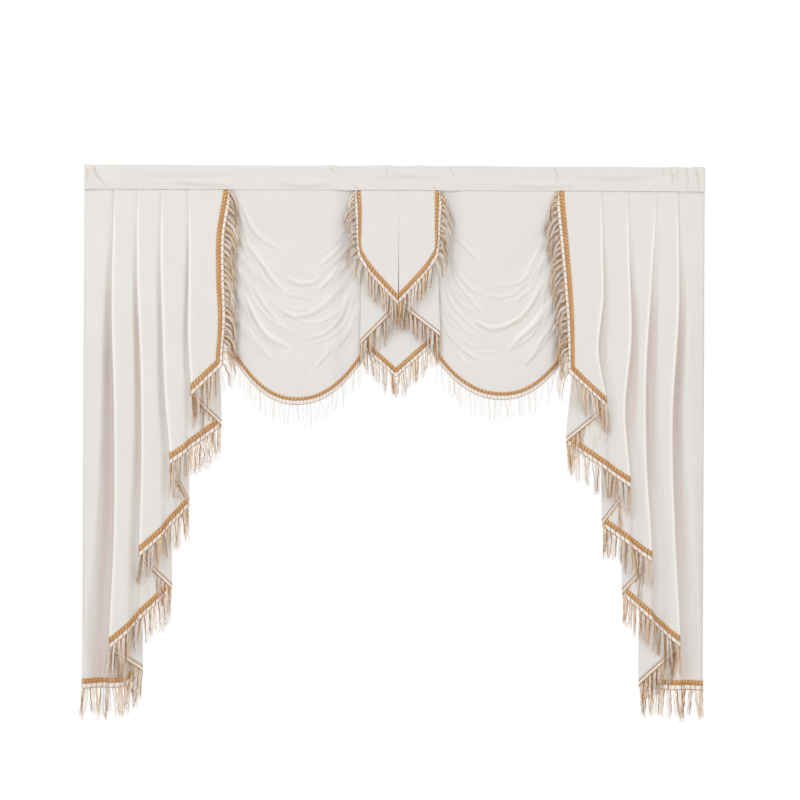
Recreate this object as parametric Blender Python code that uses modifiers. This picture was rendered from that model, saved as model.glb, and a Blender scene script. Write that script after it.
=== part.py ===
"""A swag-and-tail window valance of white satin, edged with gold fringe.

A rod pocket runs along the top. From its seam hang two tails in knife pleats, two draped swags
between them, and a short centre jabot, one cloth in an inverted box pleat, over the swags' inner
ends. Each has a fringe: a strip along its cut edge, with strands that hang from the strip.

Metres, +Z up, front towards -Y. The origin is on the middle of the pocket's top edge. Places are
worked out as (x, forward, drop): forward is towards the front, drop is down from the top edge.
The tables are in millimetres.
"""

import math
from collections import namedtuple

import bmesh
import bpy
import numpy as np

MM = 0.001

# Driving sizes
VALANCE_WIDTH = 1.798
POCKET_HEIGHT = 0.071
POCKET_DEPTH = 0.020
POCKET_CLOTH = 0.0015
POCKET_CORNER = 0.003
CLOTH = 0.0013
FRINGE_THICKNESS = 0.0012
GAP = 0.0004
BRAID_WIDTH = 0.0145
HEADER_WIDTH = 0.012
STRAND_PITCH = 0.0225
SHORTEST_ROOT = 0.010
ROOT_SHARE = 0.8
STRAND_LENGTH = 0.070
STRAND_UNEVEN = 0.10
STRAND_SHOULDER = 0.017
STRAND_WIDTH = 0.0058
STRAND_TIP = 0.0034
SHOULDER_LEAN = 0.75
TIP_LEAN = 0.38
SEAM = POCKET_HEIGHT + GAP
EDGE = VALANCE_WIDTH / 2 / MM

# Fold tables. A row is a cut edge, a fold or a hem corner, from the leading edge on. turn says
# how the cloth turns there: "back" away from the front, "fore" towards it, "none" at an edge or
# a hem corner. level is 1 at the front of the pleats and 0 at the back. x0 to x4 are its places
# from the seam down to the hem, at even steps. hem is its drop at the hem. swell is how far the
# panel after it bulges forward.
Fold = namedtuple("Fold", "turn level x0 x1 x2 x3 x4 hem swell")

LEFT_TAIL = (
    Fold("none", 1.0, -482, -501, -502, -497, -505, 576, 0),
    Fold("back", 1.0, -598, -596, -595, -595, -586, 655, 0),
    Fold("back", 0.0, -525, -530, -531, -508, -500, 742, 0),
    Fold("back", 1.0, -677, -677, -670, -662, -646, 853, -1),
    Fold("back", 0.0, -593, -595, -597, -595, -593, 974, 1),
    Fold("back", 1.0, -747, -744, -732, -729, -734, 1123, 0),
    Fold("back", 0.0, -657, -656, -652, -648, -642, 1218, 2),
    Fold("back", 1.0, -814, -817, -808, -807, -820, 1390, 0),
    Fold("back", 0.0, -730, -731, -729, -728, -726, 1456, 0),
    Fold("none", 0.2, -796, -789, -785, -780, -776, 1500, 2),
    Fold("none", 0.5, -EDGE, -EDGE, -EDGE, -EDGE, -EDGE, 1503, 0),
)
RIGHT_TAIL = (
    Fold("none", 1.0, 477, 489, 501, 510, 513, 589, 0),
    Fold("back", 1.0, 602, 604, 606, 592, 617, 688, 0),
    Fold("back", 0.0, 532, 536, 538, 519, 502, 787, 0),
    Fold("back", 1.0, 677, 682, 687, 670, 686, 916, -1),
    Fold("back", 0.0, 596, 597, 598, 602, 607, 1027, 1),
    Fold("back", 1.0, 761, 746, 730, 733, 750, 1131, 0),
    Fold("back", 0.0, 668, 667, 662, 662, 666, 1227, 2),
    Fold("back", 1.0, 822, 825, 807, 815, 832, 1377, 0),
    Fold("back", 0.0, 726, 722, 718, 716, 715, 1493, 0),
    Fold("none", 0.2, 786, 783, 780, 776, 772, 1500, 2),
    Fold("none", 0.5, EDGE, EDGE, EDGE, EDGE, EDGE, 1501, 0),
)
CENTRE_JABOT = (
    Fold("none", 1.0, -110, -106, -104, -102, -99, 276, 1),
    Fold("back", 1.0, 11, 11, 11, 11, 10, 393, 0),
    Fold("back", 0.0, -94, -94, -94, -96, -98, 508, 0),
    Fold("none", 0.0, 4, 4, 5, 5, 6, 600, 0),
    Fold("fore", 0.0, 126, 126, 127, 130, 135, 484, 0),
    Fold("fore", 1.0, 14, 14, 15, 17, 18, 387, 1),
    Fold("none", 1.0, 129, 128, 126, 124, 121, 275, 0),
)

# How far a pleated piece stands out: forward of its front and back layers at the seam and where
# it has opened, the radius of its folds, and the drop over which it opens.
Stack = namedtuple("Stack", "front_top front_low back_top back_low radius_top radius_low opens")
TAIL_STACK = Stack(6.0, 23.0, -6.0, -19.0, 1.1, 4.5, 560)
JABOT_STACK = Stack(6.0, 17.0, -3.0, -8.0, 1.1, 4.5, 330)

# Swag tables. A row is one fold line across the swag, seam and hem included: its drop at the
# left end, at its lowest point and at the right end, and its relief a little in from the left
# end, at the middle and a little in from the right end.
Sweep = namedtuple("Sweep", "left low right relief_left relief_low relief_right")

LEFT_SWAG = (
    Sweep(71.4, 71.4, 71.4, 0, 0, 0),
    Sweep(95, 280, 128, -6, -1, -4),
    Sweep(124, 343, 163, -6, -3, -5),
    Sweep(170, 390, 198, -4, -2, -5),
    Sweep(234, 442, 256, -5, -4, -5),
    Sweep(292, 532, 325, -8, -5, -7),
    Sweep(368, 607, 424, -4, -2, -5),
    Sweep(454, 681, 525, 0, 0, 0),
)
RIGHT_SWAG = (
    Sweep(71.4, 71.4, 71.4, 0, 0, 0),
    Sweep(133, 292, 102, -4, -2, -7),
    Sweep(203, 379, 137, -4, -2, -6),
    Sweep(278, 477, 218, -4, -5, -5),
    Sweep(345, 538, 294, -5, -4, -6),
    Sweep(417, 599, 375, -4, -3, -5),
    Sweep(521, 664, 505, 0, 0, 0),
)
LEFT_SWAG_ENDS = (-514, -75, 0.53)
RIGHT_SWAG_ENDS = (105, 521, 0.50)
# Forward of a swag at its seam and once it has settled: at its ends, where it is tucked behind
# the tail and the jabot, and at its middle. It comes forward between the two tuck shares.
SWAG_TOP = (-5.5, 4.5)
SWAG_BACK = (-15.0, -3.0)
SWAG_TUCK = (0.17, 0.30)
SWAG_BELLY = 19.0
SWAG_RIDGE = 0.7
SWAG_SETTLE = 0.30
RELIEF_AT = (0.0, 0.15, 0.5, 0.85, 1.0)
SWEEP_ROUND = 2.2

# Small gathers on the pocket: place along it, rise of its top edge and bulge of its front.
Pucker = namedtuple("Pucker", "x rise bulge")
PUCKERS = (
    Pucker(-EDGE, 1.0, 0.0),
    Pucker(-866, -1.0, -1.2),
    Pucker(-836, 0.5, 0.6),
    Pucker(-640, 0.0, 0.0),
    Pucker(-420, -0.6, 0.5),
    Pucker(-215, -0.4, 0.2),
    Pucker(-184, 1.6, 0.9),
    Pucker(-150, -0.8, -0.5),
    Pucker(-22, 1.4, 0.8),
    Pucker(20, -0.6, -0.6),
    Pucker(62, 1.3, 0.6),
    Pucker(130, -0.4, -0.6),
    Pucker(164, 1.2, 0.7),
    Pucker(400, -0.5, 0.3),
    Pucker(640, 0.3, 0.0),
    Pucker(778, -0.9, -0.8),
    Pucker(812, 1.2, 0.8),
    Pucker(850, -1.0, -0.9),
    Pucker(876, 1.3, 0.8),
    Pucker(EDGE, 0.2, 0.0),
)

TAIL_ROWS = (0.0, 0.1, 0.22, 0.35, 0.48, 0.61, 0.74, 0.87, 1.0)
JABOT_ROWS = (0.0, 0.2, 0.45, 0.72, 1.0)
SWAG_COLUMNS = 14
STEEPEST_HEM = 2.0
# A panel broader than this, in millimetres, has two columns between its folds, others one.
BROAD_PANEL = 100
# Where the column lies between a braided upright edge's braid and the next fold.
PAST_BRAID = 0.55
# Where the pocket's front and back bulge most, as a share of the way from its round to its foot.
BULGE_AT = 0.4

SATIN = (0.80, 0.77, 0.73)
GOLD = (0.55, 0.33, 0.12)


def blend(low, high, share):
    return low + (high - low) * share


def eased(share):
    share = min(max(share, 0.0), 1.0)
    return share * share * (3.0 - 2.0 * share)


def along(values, share):
    """The value at a share from 0 to 1 of a smooth curve through evenly spaced values."""
    steps = len(values) - 1
    place = min(max(share, 0.0), 1.0) * steps
    start = min(int(place), steps - 1)
    t = place - start
    before = values[max(start - 1, 0)]
    a, b = values[start], values[start + 1]
    after = values[min(start + 2, steps)]
    rise_a, rise_b = (b - before) / 2.0, (after - a) / 2.0
    t2, t3 = t * t, t * t * t
    return (
        (2 * t3 - 3 * t2 + 1) * a
        + (t3 - 2 * t2 + t) * rise_a
        + (3 * t2 - 2 * t3) * b
        + (t3 - t2) * rise_b
    )


def to_world(points):
    """(x, forward, drop) points as Blender's (x, y, z)."""
    points = np.asarray(points, float)
    return np.stack([points[..., 0], -points[..., 1], -points[..., 2]], axis=-1)


def open_at(stack, drop):
    """How far the pleats have opened at a drop, from 0 at the seam to 1."""
    return eased((drop - SEAM) / (stack.opens * MM))


def layers_at(stack, drop):
    """Forward of a stack's front and back layers, and its folds' radius, at a drop."""
    open_share = open_at(stack, drop)
    return (
        blend(stack.front_top, stack.front_low, open_share) * MM,
        blend(stack.back_top, stack.back_low, open_share) * MM,
        blend(stack.radius_top, stack.radius_low, open_share) * MM,
    )


def fold_place(folds, index, angle, stack, drop):
    """(x, forward) of a point round a fold. The angle is 90 at its front and -90 at its back."""
    fold = folds[index]
    share = (drop - SEAM) / (fold.hem * MM - SEAM)
    x = along(fold[2:7], share) * MM
    front, back, radius = layers_at(stack, drop)
    forward = blend(back, front, fold.level)
    if fold.turn == "none":
        return np.array([x, forward])
    side = 1.0 if fold.x4 > folds[index - 1].x4 else -1.0
    centre = forward + radius * (1.0 - 2.0 * fold.level)
    angle = math.radians(angle)
    return np.array([x - side * radius * (1.0 - math.cos(angle)), centre + radius * math.sin(angle)])


# A column of a pleated sheet lies between two points of its folds, (index, angle) each, at a
# share of the way, or at a fixed distance in from the first or the last of them.
Column = namedtuple("Column", "start end share inset")


def fold_angles(fold):
    return {"back": (90, 0, -90), "fore": (-90, 0, 90), "none": (0,)}[fold.turn]


def pleat_columns(folds, trimmed_last):
    columns = []
    last = len(folds) - 1
    for index, fold in enumerate(folds):
        for angle in fold_angles(fold):
            columns.append(Column((index, angle), (index, angle), 0.0, 0.0))
        if index == last:
            break
        start = (index, fold_angles(fold)[-1])
        end = (index + 1, fold_angles(folds[index + 1])[0])
        broad = abs(folds[index + 1].x4 - fold.x4) > BROAD_PANEL
        shares = (1 / 3, 2 / 3) if broad else (0.5,)
        if index == 0:
            columns.append(Column(start, end, 0.0, BRAID_WIDTH))
            shares = (PAST_BRAID,)
        if index == last - 1 and trimmed_last:
            columns.append(Column(start, end, 1.0 - PAST_BRAID, 0.0))
            columns.append(Column(end, start, 0.0, BRAID_WIDTH))
            continue
        columns += [Column(start, end, share, 0.0) for share in shares]
    return columns


def column_place(column, folds, stack, drop):
    start = fold_place(folds, *column.start, stack, drop)
    if column.start == column.end:
        return start
    end = fold_place(folds, *column.end, stack, drop)
    share = column.share
    if column.inset:
        share = column.inset / np.linalg.norm(end - start)
    place = blend(start, end, share)
    swell = folds[min(column.start[0], column.end[0])].swell * MM
    place[1] += swell * open_at(stack, drop) * math.sin(math.pi * share)
    return place


def hem_drops(columns, folds, stack):
    """Each column's drop at the hem, even along the cloth from each fold's crest to the next."""
    crest = [c.start == c.end and c.start[1] == 0 for c in columns]
    crests = [i for i, is_crest in enumerate(crest) if is_crest]
    drops = np.zeros(len(columns))
    for first, last in zip(crests, crests[1:]):
        hem_a = folds[columns[first].start[0]].hem * MM
        hem_b = folds[columns[last].start[0]].hem * MM
        count = last - first + 1
        guess = np.linspace(hem_a, hem_b, count)
        places = [column_place(columns[first + k], folds, stack, guess[k]) for k in range(count)]
        steps = [np.linalg.norm(b - a) for a, b in zip(places, places[1:])]
        run = np.concatenate([[0.0], np.cumsum(steps)])
        drops[first : last + 1] = hem_a + (hem_b - hem_a) * run / run[-1]
    return drops


def braid_heights(places, drops):
    """How far up each column the braid reaches, so that it is as wide on a slanted hem."""
    run = np.concatenate([[0.0], np.cumsum(np.linalg.norm(np.diff(places, axis=0), axis=1))])
    slope = np.minimum(np.abs(np.gradient(drops, run)), STEEPEST_HEM)
    slope = np.convolve(np.pad(slope, 1, mode="edge"), (0.25, 0.5, 0.25), "valid")
    return BRAID_WIDTH * np.sqrt(1.0 + slope**2)


def pleated_grid(folds, stack, rows, trimmed_last):
    """Points (row, column) of a pleated sheet. Its last row is the hem, over the braid's row."""
    columns = pleat_columns(folds, trimmed_last)
    drops = hem_drops(columns, folds, stack)
    low = np.array([column_place(c, folds, stack, d) for c, d in zip(columns, drops)])
    braid = braid_heights(low, drops)
    grid = []
    for share in rows:
        row_drops = SEAM + (drops - braid - SEAM) * share
        places = [column_place(c, folds, stack, d) for c, d in zip(columns, row_drops)]
        grid.append(np.column_stack([places, row_drops]))
    grid.append(np.column_stack([low, drops]))
    return np.array(grid)


def sweep_drop(sweep, share, low_at):
    if share < low_at:
        end, out = sweep.left, (low_at - share) / low_at
    else:
        end, out = sweep.right, (share - low_at) / (1.0 - low_at)
    return (sweep.low - (sweep.low - end) * out**SWEEP_ROUND) * MM


def swag_forward(share, fall, relief):
    """How far forward a swag's cloth is, at a share across it and a share of its fall."""
    inner, outer = SWAG_TUCK
    free = eased((min(share, 1.0 - share) - inner) / (outer - inner))
    settled = blend(blend(*SWAG_TOP, free), blend(*SWAG_BACK, free), eased(fall / SWAG_SETTLE))
    belly = SWAG_BELLY * math.sin(math.pi * share) ** 1.5 * eased(fall)
    return (settled + belly + relief) * MM


def swag_grid(sweeps, ends):
    """Points (row, column) of a swag: each fold line, with a ridge between each two of them."""
    left, right, low_at = ends
    steps = np.linspace(0.0, 1.0, SWAG_COLUMNS)
    shares = 0.5 * steps + 0.25 * (1.0 - np.cos(math.pi * steps))
    x = blend(left, right, shares) * MM
    hem = np.array([sweep_drop(sweeps[-1], s, low_at) for s in shares])
    drops, reliefs = [], []
    for index, sweep in enumerate(sweeps[:-1]):
        line = np.array([sweep_drop(sweep, s, low_at) for s in shares])
        after = np.array([sweep_drop(sweeps[index + 1], s, low_at) for s in shares])
        relief = np.interp(shares, RELIEF_AT, (0, *sweep[3:], 0))
        below = np.interp(shares, RELIEF_AT, (0, *sweeps[index + 1][3:], 0))
        drops += [line, (line + after) / 2.0]
        reliefs += [relief, -SWAG_RIDGE * (relief + below) / 2.0]
    forward = [
        [swag_forward(s, d / h, r) for s, d, h, r in zip(shares, row, hem - SEAM, relief)]
        for row, relief in zip([row - SEAM for row in drops], reliefs)
    ]
    hem_forward = np.array([swag_forward(s, 1.0, 0.0) for s in shares])
    braid = braid_heights(np.column_stack([x, hem_forward]), hem)
    above = np.array(forward[-1])
    braid_share = braid / (hem - drops[-1])
    grid = [np.column_stack([x, f, d]) for f, d in zip(forward, drops)]
    grid[-1] = np.column_stack([x, blend(hem_forward, above, braid_share), hem - braid])
    grid.append(np.column_stack([x, hem_forward, hem]))
    return np.array(grid)


# A station is a place on a cut edge: the braid's inner side, the edge, and how far the strands
# sweep outwards, from 0 where they hang straight down to 1 beside an upright edge.
Station = namedtuple("Station", "inner edge sweep")


def hem_stations(grid):
    return [Station(inner, edge, 0.0) for inner, edge in zip(grid[-2], grid[-1])]


def upright_stations(grid, column, inner_column):
    return [Station(row[inner_column], row[column], 1.0) for row in grid[:-1]]


def mitred(corner, beside):
    """The station at a corner, whose braid is cut slantwise to the inner side of the next one."""
    return Station(beside.inner, corner.edge, 0.5)


def edge_normals(inner, edge):
    """The face side's normal at each station, lengthened at a corner as a mitre is."""
    mids = (inner[1:] + inner[:-1]) / 2.0 - (edge[1:] + edge[:-1]) / 2.0
    flats = np.cross(edge[1:] - edge[:-1], mids)
    flats /= np.linalg.norm(flats, axis=1)[:, None]
    first = np.vstack([flats[:1], flats])
    second = np.vstack([flats, flats[-1:]])
    return (first + second) / (1.0 + (first * second).sum(axis=1))[:, None]


def strand_corners(root_a, root_b, sweep, outward, number):
    """The shoulder's and the tip's two corners of the strand that hangs from a root."""
    down = np.array([0.0, 0.0, -1.0])
    reach = STRAND_LENGTH * (1.0 + STRAND_UNEVEN * math.sin(2.4 * number))
    centre = (root_a + root_b) / 2.0
    corners = []
    spans = (
        (STRAND_SHOULDER, STRAND_WIDTH, SHOULDER_LEAN),
        (reach - STRAND_SHOULDER, STRAND_TIP, TIP_LEAN),
    )
    for length, width, lean in spans:
        along_strand = down + lean * sweep * outward
        along_strand /= np.linalg.norm(along_strand)
        centre = centre + along_strand * length
        across = root_b - root_a
        across = across - along_strand * across.dot(along_strand)
        across *= 0.5 * min(width / np.linalg.norm(across), ROOT_SHARE)
        corners += [centre - across, centre + across]
    return corners


def fringe_mesh(stations, face_side, outwards, bare_ends):
    """The fringe's middle surface: a strip along the stations and a strand on each pitch.

    bare_ends is how many spans at each end have no strand, because another piece covers them.
    """
    inner = to_world([s.inner for s in stations])
    edge = to_world([s.edge for s in stations])
    lift = (CLOTH + FRINGE_THICKNESS) / 2.0 + GAP
    normals = edge_normals(inner, edge) * face_side * lift
    outer = edge + (edge - inner) * (HEADER_WIDTH / BRAID_WIDTH) + normals
    inner = inner + normals
    mesh = bmesh.new()
    number = 0
    top = mesh.verts.new(inner[0])
    foot = mesh.verts.new(outer[0])
    spans = len(stations) - 1
    for i in range(spans):
        length = np.linalg.norm(edge[i + 1] - edge[i])
        parts = max(1, round(length / STRAND_PITCH))
        bare = length < SHORTEST_ROOT or min(i, spans - 1 - i) < bare_ends
        for part in range(1, parts + 1):
            share = part / parts
            new_top = mesh.verts.new(blend(inner[i], inner[i + 1], share))
            new_foot = mesh.verts.new(blend(outer[i], outer[i + 1], share))
            mesh.faces.new((top, foot, new_foot, new_top))
            if not bare:
                number += 1
                sweep = blend(stations[i].sweep, stations[i + 1].sweep, share - 0.5 / parts)
                outward = outwards[0] if i < len(stations) / 2 else outwards[1]
                roots = np.array(foot.co), np.array(new_foot.co)
                corners = strand_corners(*roots, sweep, outward, number)
                a, b, c, d = (mesh.verts.new(corner) for corner in corners)
                mesh.faces.new((foot, a, b, new_foot))
                mesh.faces.new((a, c, d, b))
            top, foot = new_top, new_foot
    bmesh.ops.remove_doubles(mesh, verts=mesh.verts, dist=1e-5)
    return mesh


def sheet_mesh(grid):
    mesh = bmesh.new()
    rows = [[mesh.verts.new(point) for point in row] for row in to_world(grid)]
    for row, below in zip(rows, rows[1:]):
        for i in range(len(row) - 1):
            mesh.faces.new((row[i], row[i + 1], below[i + 1], below[i]))
    return mesh


def pocket_outline(rise, bulge):
    """The pocket's section, a closed loop of (forward, drop): flat below and round on top."""
    half, corner = POCKET_DEPTH / 2.0, POCKET_CORNER
    bottom = POCKET_HEIGHT
    points = []
    for angle in (90, 45, 0, -45, -90):
        turn = math.radians(angle)
        points.append((-half * math.sin(turn), half - (half + rise) * math.cos(turn)))
    points[0] = (-half, half)
    widest = half + BULGE_AT * (bottom - half)
    front_side = [(half + bulge, widest), (half, bottom - corner)]
    low = [(half - corner, bottom), (corner - half, bottom)]
    back_side = [(-half, bottom - corner), (-half, widest)]
    return points + front_side + low + back_side


def pocket_mesh():
    mesh = bmesh.new()
    loops = []
    for pucker in PUCKERS:
        outline = pocket_outline(pucker.rise * MM, pucker.bulge * MM)
        points = to_world([(pucker.x * MM, forward, drop) for forward, drop in outline])
        loops.append([mesh.verts.new(point) for point in points])
    count = len(loops[0])
    for loop, after in zip(loops, loops[1:]):
        for i in range(count):
            j = (i + 1) % count
            mesh.faces.new((loop[i], loop[j], after[j], after[i]))
    return mesh


def add_object(name, mesh, thickness, offset, material, collection):
    bmesh.ops.recalc_face_normals(mesh, faces=mesh.faces)
    data = bpy.data.meshes.new(name)
    mesh.to_mesh(data)
    mesh.free()
    data.materials.append(material)
    piece = bpy.data.objects.new(name, data)
    collection.objects.link(piece)
    wall = piece.modifiers.new("Thickness", "SOLIDIFY")
    wall.thickness = thickness
    wall.offset = offset
    return piece


def satin_material(name):
    return plain_material(name, SATIN, 0.55, 0.0)


def plain_material(name, colour, roughness, metallic):
    material = bpy.data.materials.new(name)
    material.use_nodes = True
    shader = material.node_tree.nodes["Principled BSDF"]
    shader.inputs["Base Color"].default_value = (*colour, 1.0)
    shader.inputs["Roughness"].default_value = roughness
    shader.inputs["Metallic"].default_value = metallic
    return material


def clear_scene():
    for old in list(bpy.data.objects):
        bpy.data.objects.remove(old, do_unlink=True)


def add_sheet(name, grid, collection):
    add_object(name, sheet_mesh(grid), CLOTH, 0.0, satin_material(name + "_satin"), collection)


def add_fringe(name, stations, face_side, outwards, bare_ends, collection):
    mesh = fringe_mesh(stations, face_side, outwards, bare_ends)
    material = plain_material(name + "_gold", GOLD, 0.6, 0.1)
    add_object(name, mesh, FRINGE_THICKNESS, 0.0, material, collection)


def build_tail(name, folds, collection):
    grid = pleated_grid(folds, TAIL_STACK, TAIL_ROWS, False)
    add_sheet(name, grid, collection)
    stations = upright_stations(grid, 0, 1)
    hem = hem_stations(grid)
    stations += [mitred(hem[0], hem[1])] + hem[1:]
    side = 1.0 if folds[-1].x4 > 0 else -1.0
    outward = np.array([-side, 0.0, 0.0])
    add_fringe(name + "_fringe", stations, side, (outward, outward), 0, collection)


def build_jabot(name, folds, collection):
    grid = pleated_grid(folds, JABOT_STACK, JABOT_ROWS, True)
    add_sheet(name, grid, collection)
    hem = hem_stations(grid)
    stations = upright_stations(grid, 0, 1) + [mitred(hem[0], hem[1])] + hem[1:-1]
    stations += [mitred(hem[-1], hem[-2])] + upright_stations(grid, -1, -2)[::-1]
    left, right = np.array([-1.0, 0.0, 0.0]), np.array([1.0, 0.0, 0.0])
    add_fringe(name + "_fringe", stations, 1.0, (left, right), 0, collection)


def build_swag(name, sweeps, ends, collection):
    grid = swag_grid(sweeps, ends)
    add_sheet(name, grid, collection)
    still = np.zeros(3)
    add_fringe(name + "_fringe", hem_stations(grid), 1.0, (still, still), 1, collection)


def build_pocket(collection):
    material = satin_material("rod_pocket_satin")
    add_object("rod_pocket", pocket_mesh(), POCKET_CLOTH, -1.0, material, collection)


def main():
    clear_scene()
    collection = bpy.data.collections.new("swag_and_tail_valance")
    bpy.context.scene.collection.children.link(collection)
    build_pocket(collection)
    build_tail("left_tail", LEFT_TAIL, collection)
    build_tail("right_tail", RIGHT_TAIL, collection)
    build_swag("left_swag", LEFT_SWAG, LEFT_SWAG_ENDS, collection)
    build_swag("right_swag", RIGHT_SWAG, RIGHT_SWAG_ENDS, collection)
    build_jabot("centre_jabot", CENTRE_JABOT, collection)


main()
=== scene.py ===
"""Looks of the swag-and-tail valance: satin cloths, gold braid and fringe, and the studio.

Run as a script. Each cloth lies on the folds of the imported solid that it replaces. Places are
worked out as (x, forward, drop): forward is towards the front, drop is down from the top edge.
Lengths that MM multiplies, and PANEL_STEP, are in millimetres; all others are in metres.
"""

import math
from collections import namedtuple

import bmesh
import bpy
import numpy as np
from bpy.props import FloatProperty, FloatVectorProperty, IntProperty, PointerProperty
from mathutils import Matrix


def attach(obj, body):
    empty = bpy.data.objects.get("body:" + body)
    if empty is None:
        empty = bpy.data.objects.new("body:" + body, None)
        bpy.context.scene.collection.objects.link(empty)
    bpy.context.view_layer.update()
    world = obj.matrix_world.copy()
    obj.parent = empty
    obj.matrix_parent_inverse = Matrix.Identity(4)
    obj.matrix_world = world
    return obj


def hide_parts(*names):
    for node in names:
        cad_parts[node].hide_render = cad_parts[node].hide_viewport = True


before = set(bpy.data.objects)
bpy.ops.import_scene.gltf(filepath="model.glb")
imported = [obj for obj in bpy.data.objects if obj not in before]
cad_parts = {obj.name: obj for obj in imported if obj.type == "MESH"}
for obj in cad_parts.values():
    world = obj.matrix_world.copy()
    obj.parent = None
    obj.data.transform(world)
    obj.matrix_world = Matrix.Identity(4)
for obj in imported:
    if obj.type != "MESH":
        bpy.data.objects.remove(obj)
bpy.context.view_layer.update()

bl_info = {
    "name": "Swag and tail valance",
    "version": (1, 0, 0),
    "blender": (4, 5, 0),
    "location": "View3D > Sidebar > Valance",
    "description": "Builds the cloths, fringes and studio of a swag-and-tail valance",
    "category": "Add Mesh",
}

MM = 0.001
EDGE = 899.0
POCKET_HEIGHT = 0.071
POCKET_DEPTH = 0.020
POCKET_LEAN = 3.0
POCKET_CORNER = 0.0012
POCKET_FRONT = POCKET_DEPTH / 2.0 - 0.0045
SEAM = POCKET_HEIGHT + 0.0004


def table(kind, *rows):
    return tuple(kind(*row) for row in rows)


def laid_creases(*rows):
    """Creases from rows of numbers: deep, wide, then x and drop of each point."""
    return tuple(Crease(deep, wide, tuple(zip(at[::2], at[1::2]))) for deep, wide, *at in rows)


# Fold tables, as the solids have them. A row is a cut edge, a fold or a hem corner. turn says how
# the cloth turns there, level is 1 at the front of the pleats and 0 at the back, x0 to x4 are its
# places from the seam to the hem, hem its drop there, and swell how far the next panel bulges.
Fold = namedtuple("Fold", "turn level x0 x1 x2 x3 x4 hem swell")

LEFT_TAIL = table(
    Fold,
    ("none", 1.0, -482, -501, -502, -497, -505, 576, 0),
    ("back", 1.0, -598, -596, -595, -595, -586, 655, 0),
    ("back", 0.0, -525, -530, -531, -508, -500, 742, 0),
    ("back", 1.0, -677, -677, -670, -662, -646, 853, -1),
    ("back", 0.0, -593, -595, -597, -595, -593, 974, 1),
    ("back", 1.0, -747, -744, -732, -729, -734, 1123, 0),
    ("back", 0.0, -657, -656, -652, -648, -642, 1218, 2),
    ("back", 1.0, -814, -817, -808, -807, -820, 1390, 0),
    ("back", 0.0, -730, -731, -729, -728, -726, 1456, 0),
    ("none", 0.2, -796, -789, -785, -780, -776, 1500, 2),
    ("none", 0.5, -EDGE, -EDGE, -EDGE, -EDGE, -EDGE, 1503, 0),
)
RIGHT_TAIL = table(
    Fold,
    ("none", 1.0, 477, 489, 501, 510, 513, 589, 0),
    ("back", 1.0, 602, 604, 606, 592, 617, 688, 0),
    ("back", 0.0, 532, 536, 538, 519, 502, 787, 0),
    ("back", 1.0, 677, 682, 687, 670, 686, 916, -1),
    ("back", 0.0, 596, 597, 598, 602, 607, 1027, 1),
    ("back", 1.0, 761, 746, 730, 733, 750, 1131, 0),
    ("back", 0.0, 668, 667, 662, 662, 666, 1227, 2),
    ("back", 1.0, 822, 825, 807, 815, 832, 1377, 0),
    ("back", 0.0, 726, 722, 718, 716, 715, 1493, 0),
    ("none", 0.2, 786, 783, 780, 776, 772, 1500, 2),
    ("none", 0.5, EDGE, EDGE, EDGE, EDGE, EDGE, 1501, 0),
)
CENTRE_JABOT = table(
    Fold,
    ("none", 1.0, -110, -106, -104, -103, -95, 276, 1),
    ("back", 1.0, 12.4, 12.4, 12.3, 12.1, 11.7, 393, 0),
    ("back", 0.0, -94, -94, -94, -96, -98, 508, 0),
    ("none", 0.0, 4, 4, 5, 5, 6, 600, 0),
    ("fore", 0.0, 126, 126, 127, 130, 135, 484, 0),
    ("fore", 1.0, 13, 13, 13.2, 13.6, 14.4, 387, 1),
    ("none", 1.0, 129, 128, 126, 125, 117, 275, 0),
)

# How far forward a pleated piece's front and back layers are and the radius of its folds, each at
# the seam and where the pleats have opened, and the drop over which they open.
Stack = namedtuple("Stack", "front back radius opens")
TAIL_STACK = Stack((6.0, 23.0), (-6.0, -19.0), (0.8, 2.2), 560)
JABOT_STACK = Stack((6.0, 17.0), (-3.0, -8.0), (1.1, 3.5), 330)

# Swag tables. A row is one fold line across the swag: its drop at the left end, at its lowest
# point and at the right end, and its relief near the left end, at the middle and near the right.
Sweep = namedtuple("Sweep", "left low right relief_left relief_low relief_right")

LEFT_SWAG = table(
    Sweep,
    (71.4, 71.4, 71.4, 0, 0, 0),
    (95, 280, 128, -6, -1, -4),
    (124, 343, 163, -6, -3, -5),
    (170, 390, 198, -4, -2, -5),
    (234, 442, 256, -5, -4, -5),
    (292, 532, 325, -8, -5, -7),
    (368, 607, 424, -4, -2, -5),
    (454, 681, 525, 0, 0, 0),
)
RIGHT_SWAG = table(
    Sweep,
    (71.4, 71.4, 71.4, 0, 0, 0),
    (133, 292, 102, -4, -2, -7),
    (203, 379, 137, -4, -2, -6),
    (278, 477, 218, -4, -5, -5),
    (345, 538, 294, -5, -4, -6),
    (417, 599, 375, -4, -3, -5),
    (521, 664, 505, 0, 0, 0),
)
# A swag's ends and lowest point, and the shares of its width over which its ends are tucked back.
Span = namedtuple("Span", "left right low_at tuck_left tuck_right")
LEFT_SWAG_SPAN = Span(-514, -75, 0.53, (0.05, 0.16), (0.12, 0.25))
RIGHT_SWAG_SPAN = Span(105, 521, 0.50, (0.12, 0.25), (0.05, 0.16))
# Forward of a swag at its seam and once settled, at its tucked ends and at its middle.
SWAG_TOP = (-5.5, 4.5)
SWAG_BACK = (-15.0, -3.0)
SWAG_BELLY = 19.0
SWAG_RIDGE = 0.7
SWAG_SETTLE = 0.30
SWAG_FADE = 0.03
SWAG_BARE = 0.03
RELIEF_AT = (0.0, 0.15, 0.5, 0.85, 1.0)
SWEEP_ROUND = 2.2
SWEEP_SHARE = 0.42
CREASE_WIDTH = 0.68
CREASE_RIDGE = 0.55

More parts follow.
